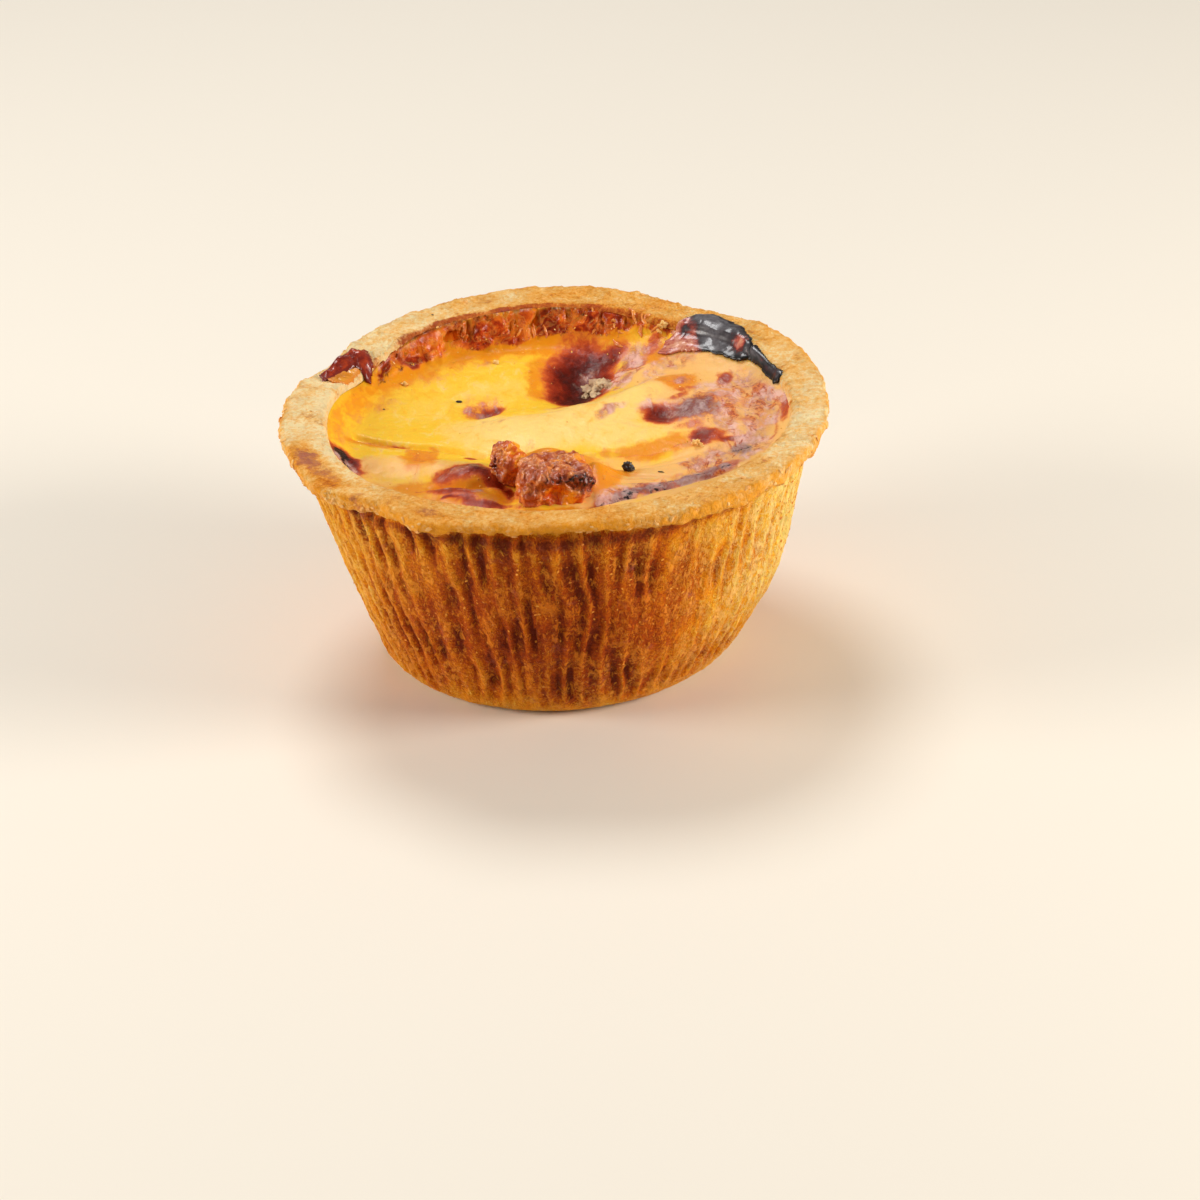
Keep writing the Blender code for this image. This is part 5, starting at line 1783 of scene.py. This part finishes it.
def make_strands(name, zones, material):
    """Thin crooked strands that lie on the upper side, as one piece."""
    generator = np.random.default_rng(6)
    points, faces, sides, steps = [], [], 6, 12
    for zone in zones:
        for _ in range(zone.count):
            start = generator.uniform(-1, 1, 2) * (zone.long, zone.wide) + (zone.x, zone.y)
            heading = generator.uniform(0.0, math.pi)
            length = zone.length * generator.uniform(0.5, 1.2)
            line = [start]
            for _ in range(steps):
                heading += generator.uniform(-0.45, 0.45)
                move = np.array((math.cos(heading), math.sin(heading))) * length / steps
                line.append(line[-1] + move)
            line = np.array(line)
            ground = top_height(line[:, 0] * MM, line[:, 1] * MM) / MM
            first = len(points)
            for place, (x, y) in enumerate(line):
                share = place / steps
                radius = zone.thick * (0.35 + 1.3 * math.sin(math.pi * min(max(share, 0.06), 0.94)))
                ahead = line[min(place + 1, steps)] - line[max(place - 1, 0)]
                side = np.array((-ahead[1], ahead[0])) / max(np.hypot(*ahead), 1e-6)
                for corner in range(sides):
                    angle = 2.0 * math.pi * corner / sides
                    out, up = radius * math.cos(angle), radius * math.sin(angle)
                    z = ground[place] - 0.05 + up
                    points.append((x + side[0] * out, y + side[1] * out, z))
            for place in range(steps):
                for corner in range(sides):
                    a = first + place * sides + corner
                    b = first + place * sides + (corner + 1) % sides
                    faces.append((a, b, b + sides, a + sides))
            faces.append(tuple(first + corner for corner in reversed(range(sides))))
            faces.append(tuple(first + steps * sides + corner for corner in range(sides)))
    mesh = bpy.data.meshes.new(name)
    mesh.from_pydata((np.array(points) * MM).tolist(), [], faces)
    data = bmesh.new()
    data.from_mesh(mesh)
    bmesh.ops.recalc_face_normals(data, faces=data.faces[:])
    data.to_mesh(mesh)
    data.free()
    mesh.shade_smooth()
    mesh.materials.append(material)
    return new_object(name, mesh)


def make_nugget(name, nugget, lobes, dark, glow, material, look):
    """One craggy piece of bacon, with its lobes, where it is dark with char and painted shade, and
    where a painted orange glow lies.
    """
    mesh = bmesh.new()
    bmesh.ops.create_icosphere(mesh, subdivisions=nugget.detail, radius=1.0)
    sizes = np.array((nugget.across, nugget.deep, nugget.tall))
    ways = np.array([v.co.normalized()[:] for v in mesh.verts])
    total = (np.abs(ways / sizes) ** BACON_SQUARENESS).sum(axis=1)
    radius = total ** (-1.0 / BACON_SQUARENESS)
    crags = []
    for way in ways:
        spot = Vector(way) * 2.2 + Vector((nugget.seed, 0.0, 0.0))
        crags.append(noise.noise(spot) + 0.5 * noise.noise(spot * 2.3))
    radius = radius * (1.0 + BACON_CRAG * 2.0 * np.array(crags)) * (1.0 + spotted(ways, lobes))
    for vert, point in zip(mesh.verts, ways * radius[:, None] * MM):
        vert.co = point
    data = bpy.data.meshes.new(name)
    mesh.to_mesh(data)
    mesh.free()
    place = Matrix.Translation(Vector((nugget.x, nugget.y, nugget.z)) * MM)
    data.transform(place @ Matrix.Rotation(math.radians(nugget.turn), 4, "Z"))
    store(data, "dark", np.clip(spotted(ways, dark), 0.0, 1.0))
    store(data, "glow", np.clip(spotted(ways, glow), 0.0, 1.0))
    data.shade_smooth()
    piece = new_object(name, data)
    return apply_tree(piece, crag_tree(), {"Crag Depth": look.crag_depth, "Material": material})


def scatter_on(source, share, material, flatness, values):
    """Scatters grains over a copy of a piece's mesh, densest where a point's share is 1."""
    mesh = source.data.copy()
    store(mesh, "scatter", share)
    grains = new_object(material.name, mesh)
    tree = scatter_tree(material.name, flatness)
    return apply_tree(grains, tree, {**values, "Material": material})


def kept_marks(mesh, *names):
    """The numbers that a mesh keeps for its points, an array for each name."""
    result = []
    for name in names:
        values = np.zeros(len(mesh.vertices), dtype=np.float32)
        mesh.attributes[name].data.foreach_get("value", values)
        result.append(values)
    return result


def directions(mesh):
    """The direction of each point of a mesh from the middle, in degrees."""
    places = np.zeros(len(mesh.vertices) * 3, dtype=np.float32)
    mesh.vertices.foreach_get("co", places)
    x, y, _ = places.reshape(-1, 3).T
    return np.degrees(np.arctan2(y, x)) % 360.0


def make_stage(look):
    """The floor, the lights and the camera."""
    half = 0.5 * look.floor_size
    corners = [(-half, -half, 0.0), (half, -half, 0.0), (half, half, 0.0), (-half, half, 0.0)]
    mesh = bpy.data.meshes.new("floor")
    mesh.from_pydata(corners, [], [(0, 1, 2, 3)])
    mesh.materials.append(floor_material(look))
    new_object("floor", mesh)

    world = bpy.data.worlds.new("studio")
    world.use_nodes = True
    backdrop = world.node_tree.nodes["Background"]
    backdrop.inputs[0].default_value = (1.0, 0.97, 0.93, 1.0)
    backdrop.inputs[1].default_value = 0.2
    bpy.context.scene.world = world
    bpy.context.scene.view_settings.view_transform = "Standard"

    warm = (1.0, 0.96, 0.9)
    add_light("right_light", (0.63, -0.17, 0.28), 0.3, look.right_power, warm)
    add_light("left_light", (-0.63, -0.10, 0.26), 0.3, look.left_power, warm)
    add_light("top_light", (-0.14, 0.44, 0.76), 0.36, look.top_power, (1.0, 1.0, 1.0))
    add_camera()


def add_light(name, place, size, power, colour):
    data = bpy.data.lights.new(name, "AREA")
    data.shape = "DISK"
    data.size = size
    data.energy = power
    data.color = colour
    light = new_object(name, data)
    light.location = place
    aim = Vector((0.0, 0.0, 0.03)) - Vector(place)
    light.rotation_euler = aim.to_track_quat("-Z", "Y").to_euler()


def add_camera():
    data = bpy.data.cameras.new("camera")
    data.lens = CAMERA_LENS
    data.sensor_width = CAMERA_SENSOR
    data.clip_start = 10.0 * MM
    camera = new_object("camera", data)
    camera.location = CAMERA_PLACE
    aim = (CAMERA_AIM - CAMERA_PLACE).to_track_quat("-Z", "Y").to_matrix()
    roll = Matrix.Rotation(math.radians(-CAMERA_ROLL), 3, "Z")
    camera.rotation_euler = (aim @ roll).to_euler()
    bpy.context.scene.camera = camera


# ---------------------------------------------------------------- operators


class QUICHE_OT_stage(bpy.types.Operator):
    """Adds the floor, the lights and the camera"""

    bl_idname = "quiche.stage"
    bl_label = "Stage"

    def execute(self, context):
        make_stage(context.scene.quiche_stage)
        return {"FINISHED"}


class QUICHE_OT_case(bpy.types.Operator):
    """Adds the pleated pastry case"""

    bl_idname = "quiche.case"
    bl_label = "Pastry Case"

    def execute(self, context):
        make_case(context.scene.quiche_case)
        return {"FINISHED"}


class QUICHE_OT_custard(bpy.types.Operator):
    """Adds the baked custard"""

    bl_idname = "quiche.custard"
    bl_label = "Custard"

    def execute(self, context):
        make_custard(context.scene.quiche_custard)
        return {"FINISHED"}


class QUICHE_OT_burnt_skins(bpy.types.Operator):
    """Adds the burnt skins: the flap at the back right, its tail and the spill on the rim"""

    bl_idname = "quiche.burnt_skins"
    bl_label = "Burnt Skins"

    def execute(self, context):
        # From 0.5 upwards the ramp is grey: painted sheen, a painted reflection of the lights on
        # the black char.
        stops = (
            (0.0, srgb(222, 158, 124)),
            (0.2, srgb(182, 84, 66)),
            (0.38, srgb(96, 36, 34)),
            (0.5, srgb(50, 44, 48)),
            (0.8, srgb(104, 100, 104)),
            (1.0, srgb(70, 68, 72)),
        )
        black = burnt_skin_material("burnt_skin", stops, srgb(20, 15, 17), 0.34, 0.2)

        flap = make_skin("burnt_flap", BURNT_FLAP, black, flap_burn_and_sheen)
        tail = make_skin("burnt_tail", BURNT_TAIL, black, even(0.56))
        stops = (
            (0.0, srgb(232, 138, 56)),
            (0.3, srgb(188, 66, 22)),
            (0.55, srgb(126, 30, 12)),
            (1.0, srgb(70, 14, 12)),
        )
        brown = burnt_skin_material("caramel_skin", stops, srgb(122, 32, 16), 0.26, 0.45)
        spill = make_skin("spilled_custard", SPILL, brown, even(0.5))
        ridge = make_skin("band_edge", band_outline(), brown, lambda x, y: 0.34 - 0.006 * x)
        stops = (
            (0.0, srgb(240, 178, 58)),
            (0.5, srgb(222, 138, 24)),
            (1.0, srgb(186, 92, 10)),
        )
        amber = burnt_skin_material("amber_skin", stops, srgb(222, 134, 36), 0.3, 0.5)
        hollow = make_skin("spilled_hollow", HOLLOW, amber, even(0.45))
        for skin in (flap, tail, spill, ridge, hollow):
            dress(skin)
        return {"FINISHED"}


class QUICHE_OT_bacon(bpy.types.Operator):
    """Adds the two pieces of toasted bacon"""

    bl_idname = "quiche.bacon"
    bl_label = "Bacon"

    def execute(self, context):
        look = context.scene.quiche_bacon
        material = bacon_material(look)
        marks = (BACON_LARGE_LOBES, BACON_LARGE_CHAR_AND_SHADE, BACON_LARGE_PAINTED_GLOW)
        large = make_nugget("bacon_chunk", BACON_LARGE, *marks, material, look)
        dress(large, "bacon_large")
        marks = (BACON_SMALL_LOBES, BACON_SMALL_CHAR_AND_SHADE, BACON_SMALL_PAINTED_GLOW)
        small = make_nugget("bacon_chip", BACON_SMALL, *marks, material, look)
        dress(small, "bacon_small")
        return {"FINISHED"}


class QUICHE_OT_crumbs(bpy.types.Operator):
    """Adds pastry flakes and crumbs on the case, and beads, bits and strands on the custard"""

    bl_idname = "quiche.crumbs"
    bl_label = "Flakes, Crumbs and Strands"

    def execute(self, context):
        look = context.scene.quiche_crumbs
        case, custard = bpy.data.objects["pastry_case"], bpy.data.objects["baked_custard"]
        ridge, wall, toast, neck = kept_marks(case.data, "ridge", "wall", "toast", "neck")
        share = np.clip(wall * ridge**2 * (1.0 - 0.6 * toast - 0.8 * neck), 0.0, 1.0)
        pale = grain_material("pastry_flakes", srgb(242, 164, 50), srgb(200, 104, 14), 0.6)
        values = {"Density": look.flakes, "Size": look.flake_size, "Sink": 0.03 * MM, "Seed": 4}
        dress(scatter_on(case, share, pale, 0.5, values))

        lip, rim = kept_marks(case.data, "lip", "rim")
        rough = 0.5 + around(CRUMBLY_LIP, directions(case.data))
        share = np.clip(rough * (lip > 0.9) + 0.06 * rim, 0.0, 1.0)
        crumbly = grain_material("lip_crumbs", srgb(248, 202, 128), srgb(222, 146, 56), 0.6)
        values = {"Density": look.crumbs, "Size": look.crumb_size, "Sink": 0.1 * MM, "Seed": 12}
        dress(scatter_on(case, share, crumbly, 0.75, values))

        top, amber, band = kept_marks(custard.data, "top", "amber", "band")
        share = top * np.clip(0.05 + amber + band, 0.0, 1.0)
        gloss = grain_material("fat_beads", srgb(252, 204, 100), srgb(236, 156, 44), 0.12, coat=0.8)
        values = {"Density": look.beads, "Size": look.bead_size, "Sink": 0.08 * MM, "Seed": 9}
        dress(scatter_on(custard, share, gloss, 0.7, values))

        pepper = grain_material("burnt_pepper", srgb(58, 36, 28), srgb(22, 14, 14), 0.4, coat=0.3)
        dress(make_bits("peppercorn", PEPPERCORN, pepper, 0.2, 0.5))
        dress(make_bits("black_specks", BLACK_SPECKS, pepper, 0.3, 0.4))
        pale = grain_material("pale_crumbs", srgb(252, 222, 150), srgb(236, 178, 88), 0.5)
        dress(make_bits("pale_crumbs", PALE_CRUMBS, pale, 0.25, 0.8))
        ashen = grain_material("ashen_crumbs", srgb(224, 196, 150), srgb(178, 138, 104), 0.5)
        dress(make_bits("ashen_crumbs", ASHEN_CRUMBS, ashen, 0.35, 0.6))
        colours = (srgb(246, 166, 70), srgb(206, 92, 30))
        golden = grain_material("cheese_strands", *colours, 0.3, coat=0.4)
        dress(make_strands("cheese_strands", STRAND_ZONES, golden))
        return {"FINISHED"}


class QUICHE_PT_panel(bpy.types.Panel):
    """Lists the quiche's pieces"""

    bl_idname = "QUICHE_PT_panel"
    bl_label = "Quiche"
    bl_space_type = "VIEW_3D"
    bl_region_type = "UI"
    bl_category = "Quiche"

    def draw(self, context):
        for name in SETTINGS:
            box = self.layout.box()
            group = getattr(context.scene, name)
            for key in group.__annotations__:
                box.prop(group, key)
        for operator in OPERATORS:
            self.layout.operator(operator.bl_idname)


SETTINGS = {
    "quiche_case": QuicheCaseSettings,
    "quiche_custard": QuicheCustardSettings,
    "quiche_bacon": QuicheBaconSettings,
    "quiche_crumbs": QuicheCrumbSettings,
    "quiche_stage": QuicheStageSettings,
}
OPERATORS = (
    QUICHE_OT_stage,
    QUICHE_OT_case,
    QUICHE_OT_custard,
    QUICHE_OT_burnt_skins,
    QUICHE_OT_bacon,
    QUICHE_OT_crumbs,
)


def register():
    for name, group in SETTINGS.items():
        bpy.utils.register_class(group)
        setattr(bpy.types.Scene, name, PointerProperty(type=group))
    for operator in OPERATORS:
        bpy.utils.register_class(operator)
    bpy.utils.register_class(QUICHE_PT_panel)


def unregister():
    bpy.utils.unregister_class(QUICHE_PT_panel)
    for operator in reversed(OPERATORS):
        bpy.utils.unregister_class(operator)
    for name, group in reversed(SETTINGS.items()):
        delattr(bpy.types.Scene, name)
        bpy.utils.unregister_class(group)


def main():
    register()
    for operator in OPERATORS:
        group, name = operator.bl_idname.split(".")
        getattr(getattr(bpy.ops, group), name)()


if __name__ == "__main__":
    main()
